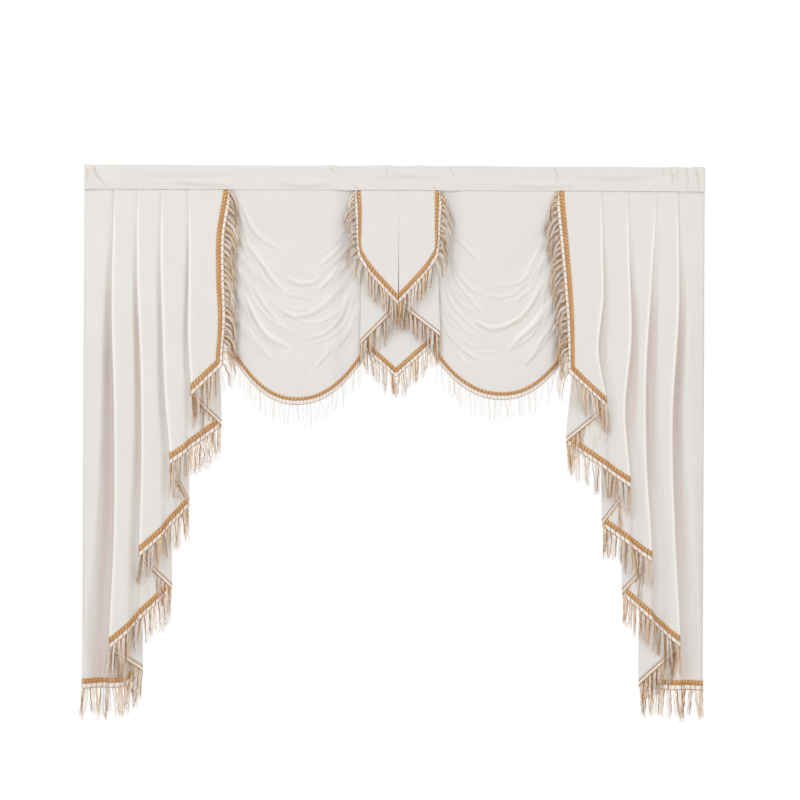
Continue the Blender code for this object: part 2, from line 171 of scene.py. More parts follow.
# Creases laid in one by one. Each is a soft trough along its points, (x, drop), with a ridge on its
# upper side. deep and wide are its own sizes; a negative deep is a raised crease.
Crease = namedtuple("Crease", "deep wide points")

LEFT_SWAG_CREASES = laid_creases(
    (3.6, 8, -446, 117, -429, 161, -404, 202, -374, 225, -340, 243),
    (3.8, 8, -427, 234, -405, 260, -382, 295, -357, 330, -325, 364),
    (3.4, 9, -313, 333, -276, 347, -237, 345, -208, 327),
    (3.0, 8, -144, 234, -185, 272, -211, 292),
    (2.8, 7, -150, 286, -185, 333, -214, 365),
    (2.0, 6, -325, 376, -284, 383, -243, 392),
    (3.0, 7, -407, 359, -386, 399, -351, 440, -313, 478),
    (3.2, 9, -327, 429, -289, 441, -251, 438, -208, 417, -150, 362),
    (5.2, 10, -432, 388, -410, 443, -379, 490, -347, 514, -312, 529),
    (-1.6, 7, -359, 548, -335, 583),
    (3.2, 8, -125, 373, -150, 443, -194, 489, -251, 507),
    (2.2, 7, -170, 520, -205, 568, -231, 597),
    (1.6, 5, -455, 190, -440, 240, -420, 285),
    (1.4, 5, -160, 400, -190, 445, -235, 470),
    (1.6, 6, -395, 500, -372, 545, -345, 580),
    (1.3, 5, -300, 300, -262, 312, -225, 305),
    (1.5, 6, -124, 167, -158, 216, -197, 252, -234, 277),
    (2.2, 6, -118, 350, -148, 411, -191, 448, -246, 460, -307, 435, -356, 399),
    (2.4, 7, -112, 387, -139, 460, -185, 502, -240, 521),
    (1.8, 6, -109, 435, -130, 490, -167, 533),
    (1.6, 5, -441, 185, -429, 228, -411, 258),
    (2.4, 6, -438, 326, -417, 380, -386, 423, -337, 466, -283, 484),
    (2.2, 6, -438, 405, -417, 460, -380, 502, -331, 533),
    (1.6, 6, -429, 466, -398, 521, -362, 563),
    (1.2, 6, -270, 631, -215, 600, -161, 545),
    (1.8, 5, -392, 301, -374, 344, -347, 374),
    (1.6, 6, -331, 405, -270, 423, -215, 411, -173, 374),
)
RIGHT_SWAG_CREASES = laid_creases(
    (2.6, 7, 179, 214, 205, 240, 242, 275),
    (-2.4, 7, 430, 200, 412, 229, 378, 252, 340, 270, 311, 281, 301, 292),
    (3.4, 8, 436, 223, 413, 269, 378, 330),
    (3.2, 9, 230, 446, 254, 466, 285, 478, 326, 466, 372, 443, 404, 400, 433, 345),
    (2.6, 7, 152, 420, 172, 449, 210, 484),
    (2.2, 7, 204, 539, 239, 565),
    (2.0, 6, 250, 542, 297, 545),
    (4.0, 9, 445, 412, 416, 454, 370, 501, 342, 530),
    (2.6, 7, 433, 443, 387, 490),
    (2.6, 8, 442, 490, 416, 539, 381, 580),
    (2.4, 7, 172, 296, 193, 328, 225, 360, 262, 378),
    (2.4, 7, 395, 330, 352, 372, 310, 384, 270, 380),
    (1.8, 6, 160, 355, 190, 400, 232, 425),
    (1.6, 6, 420, 290, 392, 352, 350, 400, 300, 420),
    (1.6, 5, 175, 470, 198, 505, 235, 525, 290, 520),
    (1.4, 5, 150, 160, 175, 190, 215, 215),
    (2.4, 6, 443, 225, 419, 274, 388, 323, 345, 347, 297, 347),
    (2.0, 6, 440, 255, 406, 347, 364, 384, 303, 402),
    (2.4, 6, 440, 323, 406, 396, 370, 438, 321, 469, 272, 469, 223, 451),
    (2.0, 6, 443, 359, 431, 420, 394, 469, 358, 493),
    (2.2, 6, 446, 408, 406, 487, 358, 524, 327, 536),
    (1.8, 6, 461, 487, 419, 542, 382, 579),
    (2.2, 6, 162, 298, 187, 347, 236, 408, 254, 426),
    (2.2, 6, 144, 347, 169, 408, 211, 451, 248, 481),
    (1.8, 6, 135, 396, 156, 445, 193, 481, 236, 493),
    (1.8, 6, 138, 457, 162, 500, 199, 536, 242, 560),
    (1.4, 6, 169, 530, 199, 567, 236, 585),
)
POCKET_CREASES = laid_creases(
    (3.4, 7, -872, 2, -866, 20, -856, 38, -846, 50),
    (2.0, 6, -893, 8, -889, 28, -893, 52),
    (1.6, 6, -846, 44, -838, 56, -842, 68),
    (2.0, 5, -184, 2, -180, 14, -172, 24),
    (1.4, 5, -160, 2, -150, 16),
    (1.8, 6, -117, 58, -104, 68),
    (2.2, 5, -24, 2, -20, 14, -26, 26),
    (1.8, 6, 111, 58, 122, 68),
    (2.0, 5, 160, 2, 167, 18, 172, 30),
    (2.2, 5, 466, 4, 472, 24, 474, 46),
    (1.8, 5, 781, 2, 776, 20),
    (2.4, 5, 800, 2, 806, 30, 802, 52),
    (2.0, 5, 822, 3, 818, 24, 826, 48),
    (2.4, 5, 845, 4, 850, 34, 846, 58),
    (2.8, 6, 874, 5, 880, 28, 884, 66),
    (1.6, 10, -640, 52, -560, 58, -470, 62),
    (1.6, 10, -330, 58, -260, 62, -190, 56),
    (1.6, 10, 330, 55, 420, 62, 520, 58),
    (1.2, 12, -720, 30, -600, 34, -480, 28),
    (1.2, 12, -60, 36, 40, 32, 150, 38),
    (1.2, 12, 540, 30, 640, 36, 730, 30),
)

# Puckers of the pocket: how far its top edge rises and its front bulges at each place.
Pucker = namedtuple("Pucker", "x rise bulge")
PUCKERS = table(
    Pucker,
    (-EDGE, 1.0, 0.0),
    (-866, -1.0, -1.2),
    (-836, 0.5, 0.6),
    (-640, 0.0, 0.0),
    (-420, -0.6, 0.5),
    (-215, -0.4, 0.2),
    (-184, 1.6, 0.9),
    (-150, -0.8, -0.5),
    (-22, 1.4, 0.8),
    (20, -0.6, -0.6),
    (62, 1.3, 0.6),
    (130, -0.4, -0.6),
    (164, 1.2, 0.7),
    (400, -0.5, 0.3),
    (640, 0.3, 0.0),
    (778, -0.9, -0.8),
    (812, 1.2, 0.8),
    (850, -1.0, -0.9),
    (876, 1.3, 0.8),
    (EDGE, 0.2, 0.0),
)

# Tucks: past each front fold the next panel lies a step behind it, dips, and comes forward again.
# panel is the row at which that panel starts, wall the front fold beside it, step and dip how far
# back it goes at the hem, wide_top and wide_low the dip's width at the seam and at the hem, shade
# how much painted warm shade it has and kept how much of that is left at the hem.
Tuck = namedtuple("Tuck", "panel wall step dip wide_top wide_low shade kept")
LEFT_TUCKS = table(
    Tuck,
    (2, 1, 7.0, 9.0, 8, 22, 0.30, 0.3),
    (4, 3, 6.5, 13.0, 8, 27, 0.20, 0.3),
    (6, 5, 6.5, 15.0, 9, 34, 1.00, 0.3),
    (9, 7, 7.0, 27.0, 9, 72, 0.78, 1.0),
)
RIGHT_TUCKS = table(
    Tuck,
    (2, 1, 4.6, 10.0, 12, 32, 0.60, 0.2),
    (4, 3, 4.6, 15.0, 16, 44, 0.75, 0.2),
    (6, 5, 4.6, 20.0, 16, 58, 0.80, 0.3),
    (9, 7, 4.6, 20.0, 14, 62, 0.75, 0.3),
)
TUCK_TOP = 0.22
OUTER_PANEL = 0.92
# Painted warm shade in the tucks: its width and soft edge as shares of the dip's width, and the share of
# the fold's fall where it starts to fade and over which it fades.
SHADE_WIDTH = 0.86
SHADE_SOFT = 0.3
SHADE_FADES = (0.55, 0.3)
# Painted highlight beside the front folds: its width, and the drop below the seam over which it grows.
PAINTED_HIGHLIGHT_WIDTH = 0.0062
PAINTED_HIGHLIGHT_FROM = 0.12
JABOT_ROUNDED = 0.034

# How finely the cloths are cut, and the small uneven waves that hang in every pleat.
FOLD_STEPS = 9
PANEL_STEP = 5.0
TAIL_ROWS = 108
JABOT_ROWS = 56
SWAG_COLUMNS = 136
SWAG_ROWS = 172
POCKET_LOOPS = 450
POCKET_STEPS = 18
GATHERS = 150
GATHERS_SEED = 5
Wave = namedtuple("Wave", "high long lean phase")
TAIL_WAVES = (Wave(0.9, 61, 0.9, 0.4), Wave(0.55, 33, -1.4, 2.1), Wave(0.35, 19, 2.2, 4.4))
JABOT_WAVES = (Wave(0.5, 47, 1.1, 0.0), Wave(0.3, 23, -1.7, 1.3))

# One fringe: how far its braid and open band reach, and how its strands hang.
Trim = namedtuple("Trim", "braid band cord tie pitch threads length bend thick pale")
TAIL_TRIM = Trim(0.0150, 0.0115, 0.0014, 1.0, 0.0175, 14, 0.088, 0.088, 0.00078, 0.02)
SWAG_TRIM = Trim(0.0095, 0.0105, 0.0008, 0.5, 0.0100, 3, 0.066, 0.024, 0.00040, 0.42)
JABOT_TRIM = Trim(0.0125, 0.0105, 0.0011, 0.8, 0.0155, 13, 0.072, 0.060, 0.00078, 0.00)

# Sections of the trim's tapes: share of the width from the inner side, and height above the cloth.
BRAID_SECTION = (
    (0.00, 0.10), (0.03, 0.75), (0.10, 1.00), (0.18, 0.85), (0.24, 0.55), (0.38, 0.75),
    (0.50, 0.80), (0.62, 0.75), (0.76, 0.55), (0.82, 0.85), (0.90, 1.00), (0.97, 0.75),
    (1.00, 0.10), (0.75, 0.05), (0.25, 0.05),
)
BAND_SECTION = (
    (0.00, 0.00), (0.10, 0.35), (0.30, 0.20), (0.50, 0.35), (0.70, 0.20), (0.90, 0.35),
    (1.00, 0.00), (0.66, -0.10), (0.33, -0.10),
)
# How the parts of a trim lie, in metres: its stations' spacing, heights above the cloth or off its
# edge, the cords' radii, and the margins at its ends.
STATION_STEP = 0.005
OFF_CLOTH = 0.0002
BAND_RAISED = 0.0003
BAND_LAP = 0.001
EDGE_LIFT = 0.0010
CORD_LIFT = 0.0004
TIE_LIFT = 0.0012
UNDER_EDGE = 0.0006
EDGE_CORD, UNDER_CORD = 0.0007, 0.0009
END_MARGIN = 0.001
ROOT_DEPTH = 0.0016
# The open band's reach where its edge is level, where it is upright and at the seam, as shares.
BAND_LEVEL, BAND_UPRIGHT, BAND_AT_SEAM = 1.15, 0.80, 0.35
BAND_SETTLES = 0.05
CORNER_REACH = 7
TIE_SHARES = (0.0, 0.33, 0.67, 1.0)
TIE_WIDTHS = (0.0012, 0.0009, 0.0009, 0.0012)
TIE_TONES = (0.02, 0.35)
CORD_TONES = (0.22, 0.05, 0.30)

# How strands hang. They come in bundles, and most of what is uneven is shared by a bundle. Pairs
# are the least and the most share of the trim's own value, splays are (x, y, z).
STRAND_STEPS = 7
STRAND_DROOP = 0.40
STRANDS_FRONT = -0.0345
STRAND_TIP = 0.55
BUNDLE_SPLAY, STRAND_SPLAY = (0.07, 0.03, 0.02), (0.030, 0.015, 0.010)
BUNDLE_CURLS, CURL_KINDS = (0.04, 0.16), (0.6, 1.0, 1.8)
BUNDLE_LENGTHS, STRAND_LENGTHS = (0.84, 1.06), (0.76, 1.06)
BUNDLE_BENDS, STRAND_BENDS = (0.75, 1.2), (0.92, 1.08)
STRAND_WIDTHS = (0.7, 1.15)
BUNDLE_TONES, TONE_SPREAD = (0.66, 0.84, 0.96, 1.0), 0.10
# Some strands are brown and thicker, and lie close together beside their bundle's middle.
BROWN_SHARE, BROWN_TONE, BROWN_THICK = 0.24, 0.14, 1.25
BROWN_SHIFT, BROWN_SPREAD = 0.30, 0.045
PALE_SHIFT, PALE_SPREAD = -0.12, 0.19

# Satin: scale and detail of its floats, slubs and clouds, how uneven these make it, how much
# brighter its painted highlights are, and the share of red, green and blue left by its painted shade.
FLOATS, SLUBS, CLOUDS = (1500.0, 2.0), (90.0, 3.0), (9.0, 2.0)
MOTTLE, STREAK = 0.05, 0.05
PAINTED_HIGHLIGHT_SHARE = 1.20
PAINTED_SHADE_SHARES = (0.93, 0.845, 0.81)
# Trims: turns per metre of the braid's threads and beads, where its groove and rims lie off its
# middle, the net's turns along and across it, and the fringe threads' lightest tone.
BRAID_THREADS, BRAID_BEADS = 230.0, 290.0
BRAID_GROOVE, BRAID_RIM = 0.26, 0.33
NET_WARP, NET_WEFT = 1600.0, 22.0
# The net's colour where painted shade fills its holes, and its threads' colour.
NET_HOLE_SHADE, NET_THREADS = (0.62, 0.55, 0.46), (0.93, 0.91, 0.87)
THREAD_TIP = (1.0, 0.94, 0.86)

# The studio: floor, ambient light, lamps as (name, place, aim, width, watts), and camera.
FLOOR_CORNERS = ((-4.5, -5.0), (4.5, -5.0), (-4.5, 1.15), (4.5, 1.15))
FLOOR_DROP = 2.08
AMBIENT = 0.87
AMBIENT_COLOUR = (1.0, 0.952, 0.918)
DAYLIGHT = (0.78, 1.0, 1.16)
LIGHTS = (
    ("key", (-3.6, -5.6, 3.4), (0.0, 0.0, -0.7), 2.2, 114.0),
    ("fill", (2.8, -6.0, -1.9), (0.0, 0.0, -1.0), 2.6, 40.0),
)
SENSOR = 36.0
CAMERA_AWAY = 8.0
CAMERA_ASIDE = 0.0184
CAMERA_LOW = 0.6786
CAMERA_ROLL = -0.25
PICTURE_WIDTH = 2.32


class ValanceSizes(bpy.types.PropertyGroup):
    cloth_thickness: FloatProperty(
        name="Cloth thickness", description="Thickness of the satin", default=0.0008, unit="LENGTH"
    )
    braid_thickness: FloatProperty(
        name="Braid thickness", description="How far the braid stands off", default=0.0017, unit="LENGTH"
    )
    strand_length: FloatProperty(
        name="Strand length", description="Scale of the fringe strands' length", default=1.0
    )
    strand_seed: IntProperty(
        name="Strand variation", description="Which uneven set of strands hangs", default=7
    )


class ValanceColours(bpy.types.PropertyGroup):
    satin: FloatVectorProperty(
        name="Satin", description="Colour of the cloth", subtype="COLOR", default=(0.790, 0.754, 0.714)
    )
    gold: FloatVectorProperty(
        name="Gold", description="Middle colour of braid and strands", subtype="COLOR",
        default=(0.70, 0.36, 0.105),
    )
    gold_dark: FloatVectorProperty(
        name="Dark gold", description="Shadow threads of the braid", subtype="COLOR",
        default=(0.38, 0.150, 0.032),
    )
    gold_pale: FloatVectorProperty(
        name="Pale gold", description="Lightest threads of the fringe", subtype="COLOR",
        default=(1.0, 0.74, 0.47),
    )
    floor: FloatVectorProperty(
        name="Floor", description="Colour of the studio floor", subtype="COLOR", default=(0.84, 0.84, 0.84)
    )


def blend(low, high, share):
    return low + (high - low) * share


def eased(share):
    share = np.clip(share, 0.0, 1.0)
    return share * share * (3.0 - 2.0 * share)


def along(values, share):
    """The value at a share from 0 to 1 of a smooth curve through evenly spaced values."""
    steps = len(values) - 1
    place = min(max(share, 0.0), 1.0) * steps
    start = min(int(place), steps - 1)
    t = place - start
    before = values[max(start - 1, 0)]
    a, b = values[start], values[start + 1]
    after = values[min(start + 2, steps)]
    rise_a, rise_b = (b - before) / 2.0, (after - a) / 2.0
    t2, t3 = t * t, t * t * t
    return (
        (2 * t3 - 3 * t2 + 1) * a
        + (t3 - 2 * t2 + t) * rise_a
        + (3 * t2 - 2 * t3) * b
        + (t3 - t2) * rise_b
    )


def to_world(points):
    """(x, forward, drop) points as Blender's (x, y, z)."""
    points = np.asarray(points, float)
    return np.stack([points[..., 0], -points[..., 1], -points[..., 2]], axis=-1)


def unit(vectors):
    return vectors / np.maximum(np.linalg.norm(vectors, axis=-1, keepdims=True), 1e-12)


def run_along(points):
    """The length along a line of points at each of them, from 0."""
    return np.concatenate([[0.0], np.cumsum(np.linalg.norm(np.diff(points, axis=0), axis=1))])


# Pleated cloths


def layers(stack, drop):
    """How far the pleats have opened at a drop, from 0 at the seam to 1, and how far forward their
    front and back layers are and how round their folds, in metres."""
    opened = float(eased((drop - SEAM) / (stack.opens * MM)))
    return opened, *(blend(*ends, opened) * MM for ends in (stack.front, stack.back, stack.radius))


def fallen_share(fold, drop):
    """How far down a fold a drop is, from 0 at the seam to 1 at the fold's own hem."""
    return (drop - SEAM) / (fold.hem * MM - SEAM)


def fold_x(fold, drop):
    return along(fold[2:7], fallen_share(fold, drop)) * MM


def fold_place(folds, index, angle, stack, drop):
    """(x, forward) of a point round a fold. The angle is 90 at its front and -90 at its back."""
    fold, x = folds[index], fold_x(folds[index], drop)
    _, front, back, radius = layers(stack, drop)
    forward = blend(back, front, fold.level)
    if fold.turn == "none":
        return np.array([x, forward])
    side = 1.0 if fold.x4 > folds[index - 1].x4 else -1.0
    centre = forward + radius * (1.0 - 2.0 * fold.level)
    angle = math.radians(angle)
    return np.array([x - side * radius * (1.0 - math.cos(angle)), centre + radius * math.sin(angle)])


# A column of a pleated sheet lies between two points of its folds, (index, angle) each, at a
# share of the way. panel counts the panels from the leading edge.
Column = namedtuple("Column", "start end share panel")


def fold_angles(fold):
    ends = {"back": (90, -90), "fore": (-90, 90)}
    return (0.0,) if fold.turn == "none" else tuple(np.linspace(*ends[fold.turn], FOLD_STEPS))


def pleat_columns(folds):
    columns = []
    for index, fold in enumerate(folds):
        for angle in fold_angles(fold):
            columns.append(Column((index, angle), (index, angle), 0.0, index))
        if index == len(folds) - 1:
            break
        start = (index, fold_angles(fold)[-1])
        end = (index + 1, fold_angles(folds[index + 1])[0])
        count = max(3, round(abs(folds[index + 1].x4 - fold.x4) / PANEL_STEP))
        columns += [Column(start, end, k / count, index) for k in range(1, count)]
    return columns


def crest_of(columns, index):
    """The column at the middle of a fold."""
    return columns.index(Column((index, 0.0), (index, 0.0), 0.0, index))


def tucked(column, folds, tucks, stack, start, end, x, drop):
    """How far forward a panel is between its ends: even, or with a tuck past the fold before it."""
    tuck = next((t for t in tucks if t.panel == column.panel), None)
    if tuck is None:
        return blend(start[1], end[1], column.share)
    opened, front, back, _ = layers(stack, drop)
    wall = folds[tuck.wall]
    fallen = min(fallen_share(wall, drop), 1.0)
    edge = fold_x(wall, drop)
    wide = blend(tuck.wide_top, tuck.wide_low, fallen) * MM
    grown = blend(TUCK_TOP, 1.0, float(eased(2.2 * fallen)))
    crest = front if folds[column.panel + 1].level == 1.0 else blend(back, front, OUTER_PANEL)
    step = blend(2.0 * stack.radius[0], tuck.step, grown) * MM
    way = math.copysign(1.0, end[0] - start[0])
    past, whole = (x - edge) * way, (end[0] - edge) * way
    if past < 0.0:
        return blend(start[1], crest - step, 1.0 + past / abs(edge - start[0]))
    share = min(past / wide, 1.0)
    if share == 1.0 and crest != front:
        return blend(crest, end[1], ((past - wide) / (whole - wide)) ** 1.6)
    dip = tuck.dip * MM * grown * opened * math.sin(math.pi * share**0.62) ** 1.25
    return crest - step * (1.0 - share) - dip


def column_place(column, folds, stack, waves, tucks, drop):
    start = fold_place(folds, *column.start, stack, drop)
    if column.start == column.end:
        return start
    end = fold_place(folds, *column.end, stack, drop)
    place = blend(start, end, column.share)
    place[1] = tucked(column, folds, tucks, stack, start, end, place[0], drop)
    lift = folds[column.panel].swell
    for wave in waves:
        turn = place[0] / (wave.long * MM) + drop * wave.lean + wave.phase * (column.panel + 1)
        lift += wave.high * math.sin(2.0 * math.pi * turn)
    place[1] += lift * MM * layers(stack, drop)[0] * math.sin(math.pi * column.share)
    return place


def row_places(columns, folds, stack, waves, tucks, drops):
    """(x, forward) of each column at its own drop."""
    return [column_place(c, folds, stack, waves, tucks, d) for c, d in zip(columns, drops)]


def hem_drops(columns, folds, stack, tucks):
    """Each column's drop at the hem, even along the cloth from each fold's crest to the next."""
    crests = [crest_of(columns, index) for index in range(len(folds))]
    drops = np.zeros(len(columns))
    for index, (first, last) in enumerate(zip(crests, crests[1:])):
        hem_a, hem_b = folds[index].hem * MM, folds[index + 1].hem * MM
        guess = np.linspace(hem_a, hem_b, last - first + 1)
        run = run_along(row_places(columns[first:], folds, stack, (), tucks, guess))
        drops[first : last + 1] = hem_a + (hem_b - hem_a) * run / run[-1]
    return drops


def pleated_grid(folds, stack, waves, tucks, rows, rounded=0.0):
    """Points (row, column) of a pleated sheet, from its seam to its hem. rounded is the reach of
    its rounded lower corners."""
    columns = pleat_columns(folds)
    drops = hem_drops(columns, folds, stack, tucks)
    if rounded:
        x = np.array(row_places(columns, folds, stack, (), tucks, drops))[:, 0]
        for corner, panels in ((0, (0,)), (-1, (len(folds) - 2, len(folds) - 1))):
            inward = np.where(np.isin([c.panel for c in columns], panels), np.abs(x - x[corner]), 1.0)
            drops = drops - np.clip(rounded - inward, 0.0, None) ** 2 / (2.0 * rounded)
    grid = []
    for share in np.linspace(0.0, 1.0, rows):
        row = SEAM + (drops - SEAM) * share
        grid.append(np.column_stack([row_places(columns, folds, stack, waves, tucks, row), row]))
    return np.array(grid)


def painted_fold_highlights(folds, grid):
    """Where a pleated sheet gets a painted highlight, from 0 to 1: beside its front folds, more lower
    down.
    """
    columns = pleat_columns(folds)
    fold_highlight = np.zeros(grid.shape[:2])
    for index, fold in enumerate(folds):
        if fold.turn != "back" or fold.level != 1.0:
            continue
        crest = crest_of(columns, index)
        for i, column in enumerate(columns[: crest + 1]):
            if column.panel >= index - 1:
                far = np.abs(grid[:, i, 0] - grid[:, crest, 0]) / PAINTED_HIGHLIGHT_WIDTH
                fold_highlight[:, i] = np.exp(-(far**2))
    return fold_highlight * eased((grid[..., 2] - SEAM) / PAINTED_HIGHLIGHT_FROM)


def tuck_shade(folds, tucks, grid):
    """Where painted warm shade lies on a pleated sheet, from 0 to 1: a band past each front fold that has
    a tuck.
    """
    columns = pleat_columns(folds)
    shade = np.zeros(grid.shape[:2])
    for tuck in tucks:
        crest = crest_of(columns, tuck.wall)
        inside = np.array([c.panel == tuck.panel for c in columns])
        fallen = fallen_share(folds[tuck.wall], grid[:, crest, 2:])
        wide = blend(tuck.wide_top, tuck.wide_low, fallen) * SHADE_WIDTH * MM
        past = np.abs(grid[..., 0] - grid[:, crest, :1])
        low = eased((fallen - SHADE_FADES[0]) / SHADE_FADES[1])
        left = tuck.shade * blend(1.0, tuck.kept, low)
        shade += left * inside * eased((wide - past) / (SHADE_SOFT * wide)) * eased(fallen * 3.0)
    return shade


# Swags


def sweep_drop(sweep, share, low_at):
    out = np.where(share < low_at, (low_at - share) / low_at, (share - low_at) / (1.0 - low_at))
    end = np.where(share < low_at, sweep.left, sweep.right)
    return (sweep.low - (sweep.low - end) * out**SWEEP_ROUND) * MM


def crease_relief(creases, x, drop):
    """Forward of every point for the creases, a trough along each and a ridge above it, and where
    the ridges get a painted highlight."""
    relief, painted_light = np.zeros(x.shape), np.zeros(x.shape)
    for crease in creases:
        points = [np.array(p, float) * MM for p in crease.points]
        line = np.array([along(points, s) for s in np.linspace(0.0, 1.0, 8 * len(points))])
        shares = np.linspace(0.0, 1.0, len(line))
        apart = np.hypot(x[..., None] - line[:, 0], drop[..., None] - line[:, 1])
        nearest = apart.argmin(axis=-1)
        far = apart.min(axis=-1) / (crease.wide * CREASE_WIDTH * MM)
        tangent = np.gradient(line, axis=0)[nearest]
        offset_x = x - line[nearest, 0]
        offset_drop = drop - line[nearest, 1]
        turn = np.sign(tangent[..., 0]) + (tangent[..., 0] == 0)
        above = -np.sign((tangent[..., 0] * offset_drop - tangent[..., 1] * offset_x) * turn)
        fade = np.sin(np.pi * np.clip(shares[nearest], 0.03, 0.97)) ** 0.5
        trough = -np.exp(-(far**2))
        ridge = CREASE_RIDGE * np.exp(-((far * above - 1.5) ** 2) / 1.1)
        relief += crease.deep * MM * fade * (trough + ridge)
        painted_light += max(crease.deep, 0.0) / 3.0 * fade * ridge
    return relief, np.clip(painted_light, 0.0, 1.0)


def hollow_shade(relief, full):
    """Where painted shade lies in the creases' troughs, from 0 to 1 at a depth of full millimetres."""
    return np.clip(-relief / (full * MM), 0.0, 1.0)


def swag_forward(span, share, fall, relief):
    """How far forward a swag's cloth is, at a share across it and a share of its fall."""
    free = 1.0
    for inward, (inner, outer) in ((share, span.tuck_left), (1.0 - share, span.tuck_right)):
        free = np.minimum(free, eased((inward - inner) / (outer - inner)))
    settled = blend(blend(*SWAG_TOP, free), blend(*SWAG_BACK, free), eased(fall / SWAG_SETTLE))
    belly = SWAG_BELLY * np.sin(np.pi * share) ** 1.5 * eased(fall)
    return (settled + belly + relief) * MM


def swag_grid(sweeps, span, creases):
    shares = np.linspace(0.0, 1.0, SWAG_COLUMNS)
    x = blend(span.left, span.right, shares) * MM
    lines = [sweep_drop(sweep, shares, span.low_at) for sweep in sweeps]
    reliefs = [np.interp(shares, RELIEF_AT, (0, *sweep[3:], 0)) for sweep in sweeps]
    grid = []
    for share in np.linspace(0.0, 1.0, SWAG_ROWS):
        drop = along(lines, share)
        place = share * (len(sweeps) - 1)
        start = min(int(place), len(sweeps) - 2)
        low = blend(reliefs[start], reliefs[start + 1], place - start)
        trough = abs(math.cos(math.pi * place)) ** 1.6
        relief = low * blend(-SWAG_RIDGE, 1.0, trough) * SWEEP_SHARE
        fall = (drop - SEAM) / (lines[-1] - SEAM)
        grid.append(np.column_stack([x, swag_forward(span, shares, fall, relief), drop]))
    grid = np.array(grid)
    fade = eased((lines[-1][None, :] - grid[..., 2]) / SWAG_FADE)
    fade = fade * eased((grid[..., 2] - SEAM) / SWAG_FADE)
    relief, painted_light = crease_relief(creases, grid[..., 0], grid[..., 2])
    grid[..., 1] += relief * fade
    # Painted highlights on the creases' ridges, less painted shade in their troughs, faded out at the seam
    # and the hem.
    return grid, (painted_light - 0.8 * hollow_shade(relief, 3.0)) * fade


# Meshes


def link_piece(name, data, material):
    piece = bpy.data.objects.new(name, data)
    bpy.context.scene.collection.objects.link(piece)
    data.materials.append(material)
    data.polygons.foreach_set("use_smooth", [True] * len(data.polygons))
    return piece


def write_uv(data, values):
    """values has one (u, v) in metres for each vertex."""
    layer = data.uv_layers.new(name="cloth")
    corners = np.empty(len(data.loops), np.int32)
    data.loops.foreach_get("vertex_index", corners)
    layer.data.foreach_set("uv", values[corners].astype(np.float32).ravel())


def write_value(data, name, values):
    """values has one number for each vertex."""
    data.attributes.new(name, "FLOAT", "POINT").data.foreach_set("value", values.ravel())


def thickened(piece, thickness, offset):
    """Give a sheet its wall. offset is 0 for both sides alike and -1 for inwards."""
    wall = piece.modifiers.new("Thickness", "SOLIDIFY")
    wall.thickness = thickness
    wall.offset = offset
    bpy.ops.object.select_all(action="DESELECT")
    piece.select_set(True)
    bpy.context.view_layer.objects.active = piece
    bpy.ops.object.modifier_apply(modifier=wall.name)
    return piece


def lattice_faces(rows, columns, wrap):
    """Quads of a lattice of points, row by row; wrap joins each row's end to its start."""
    across = np.arange(columns if wrap else columns - 1)
    down = np.arange(rows - 1)[:, None] * columns
    after = (across + 1) % columns
    quads = np.stack([down + across, down + after, down + columns + after, down + columns + across], -1)
    return quads.reshape(-1, 4)


def cloth_piece(name, grid, painted_light, thickness, material):
    """A sheet on a grid of points, with its own lengths in metres as its UV map, and its painted
    highlights and shade.
    """
    points = to_world(grid)
    rows, columns, _ = points.shape
    uv = np.zeros((rows, columns, 2))
    uv[:, 1:, 0] = np.linalg.norm(np.diff(points, axis=1), axis=2).cumsum(axis=1)
    uv[1:, :, 1] = np.linalg.norm(np.diff(points, axis=0), axis=2).cumsum(axis=0)
    data = bpy.data.meshes.new(name)
    data.from_pydata(points.reshape(-1, 3).tolist(), [], lattice_faces(rows, columns, False).tolist())
    write_uv(data, uv.reshape(-1, 2))
    write_value(data, "painted_light", painted_light)
    return thickened(link_piece(name, data, material), thickness, 0.0)


def swept_mesh(name, points, uv, capped):
    """A mesh of closed loops of points, (loop, place, 3), joined in order. Its ends are closed if
    it is capped."""
    loops, count, _ = points.shape
    mesh = bmesh.new()
    verts = [mesh.verts.new(point) for point in points.reshape(-1, 3)]
    for face in lattice_faces(loops, count, True):
        mesh.faces.new([verts[i] for i in face])
    if capped:
        mesh.faces.new(verts[:count])
        mesh.faces.new(verts[-count:])
    bmesh.ops.recalc_face_normals(mesh, faces=mesh.faces)
    data = bpy.data.meshes.new(name)
    mesh.to_mesh(data)
    mesh.free()
    write_uv(data, uv)
    return data


def cloth_area(grid):
    """Area in square metres of the sheet on a grid."""
    points = to_world(grid)
    crossed = np.cross(points[1:, 1:] - points[:-1, :-1], points[1:, :-1] - points[:-1, 1:])
    return 0.5 * np.linalg.norm(crossed, axis=2).sum()


def tubes(paths, radii, sides):
    """Points and faces of round threads along paths, (count, steps, 3), with their radii."""
    count, steps, _ = paths.shape
    heading = unit(np.gradient(paths, axis=1))
    across = np.cross(heading[:, 0], (0.0, 1.0, 0.0)) + (1e-6, 0.0, 0.0)
    turns = np.arange(sides) * 2.0 * np.pi / sides
    rings = []
    for k in range(steps):
        ahead = heading[:, k]
        across = unit(across - ahead * (across * ahead).sum(axis=1, keepdims=True))
        other = np.cross(ahead, across)
        offset = across[:, None] * np.cos(turns)[:, None] + other[:, None] * np.sin(turns)[:, None]
        rings.append(paths[:, k, None] + offset * radii[:, k, None, None])
    points = np.stack(rings, axis=1).reshape(-1, 3)
    starts = np.arange(count) * steps * sides
    faces = (lattice_faces(steps, sides, True)[None] + starts[:, None, None]).reshape(-1, 4).tolist()
    ring = np.arange(sides)
    for start in starts:
        faces.append((ring[::-1] + start).tolist())
        faces.append((ring + start + (steps - 1) * sides).tolist())
    return points, faces


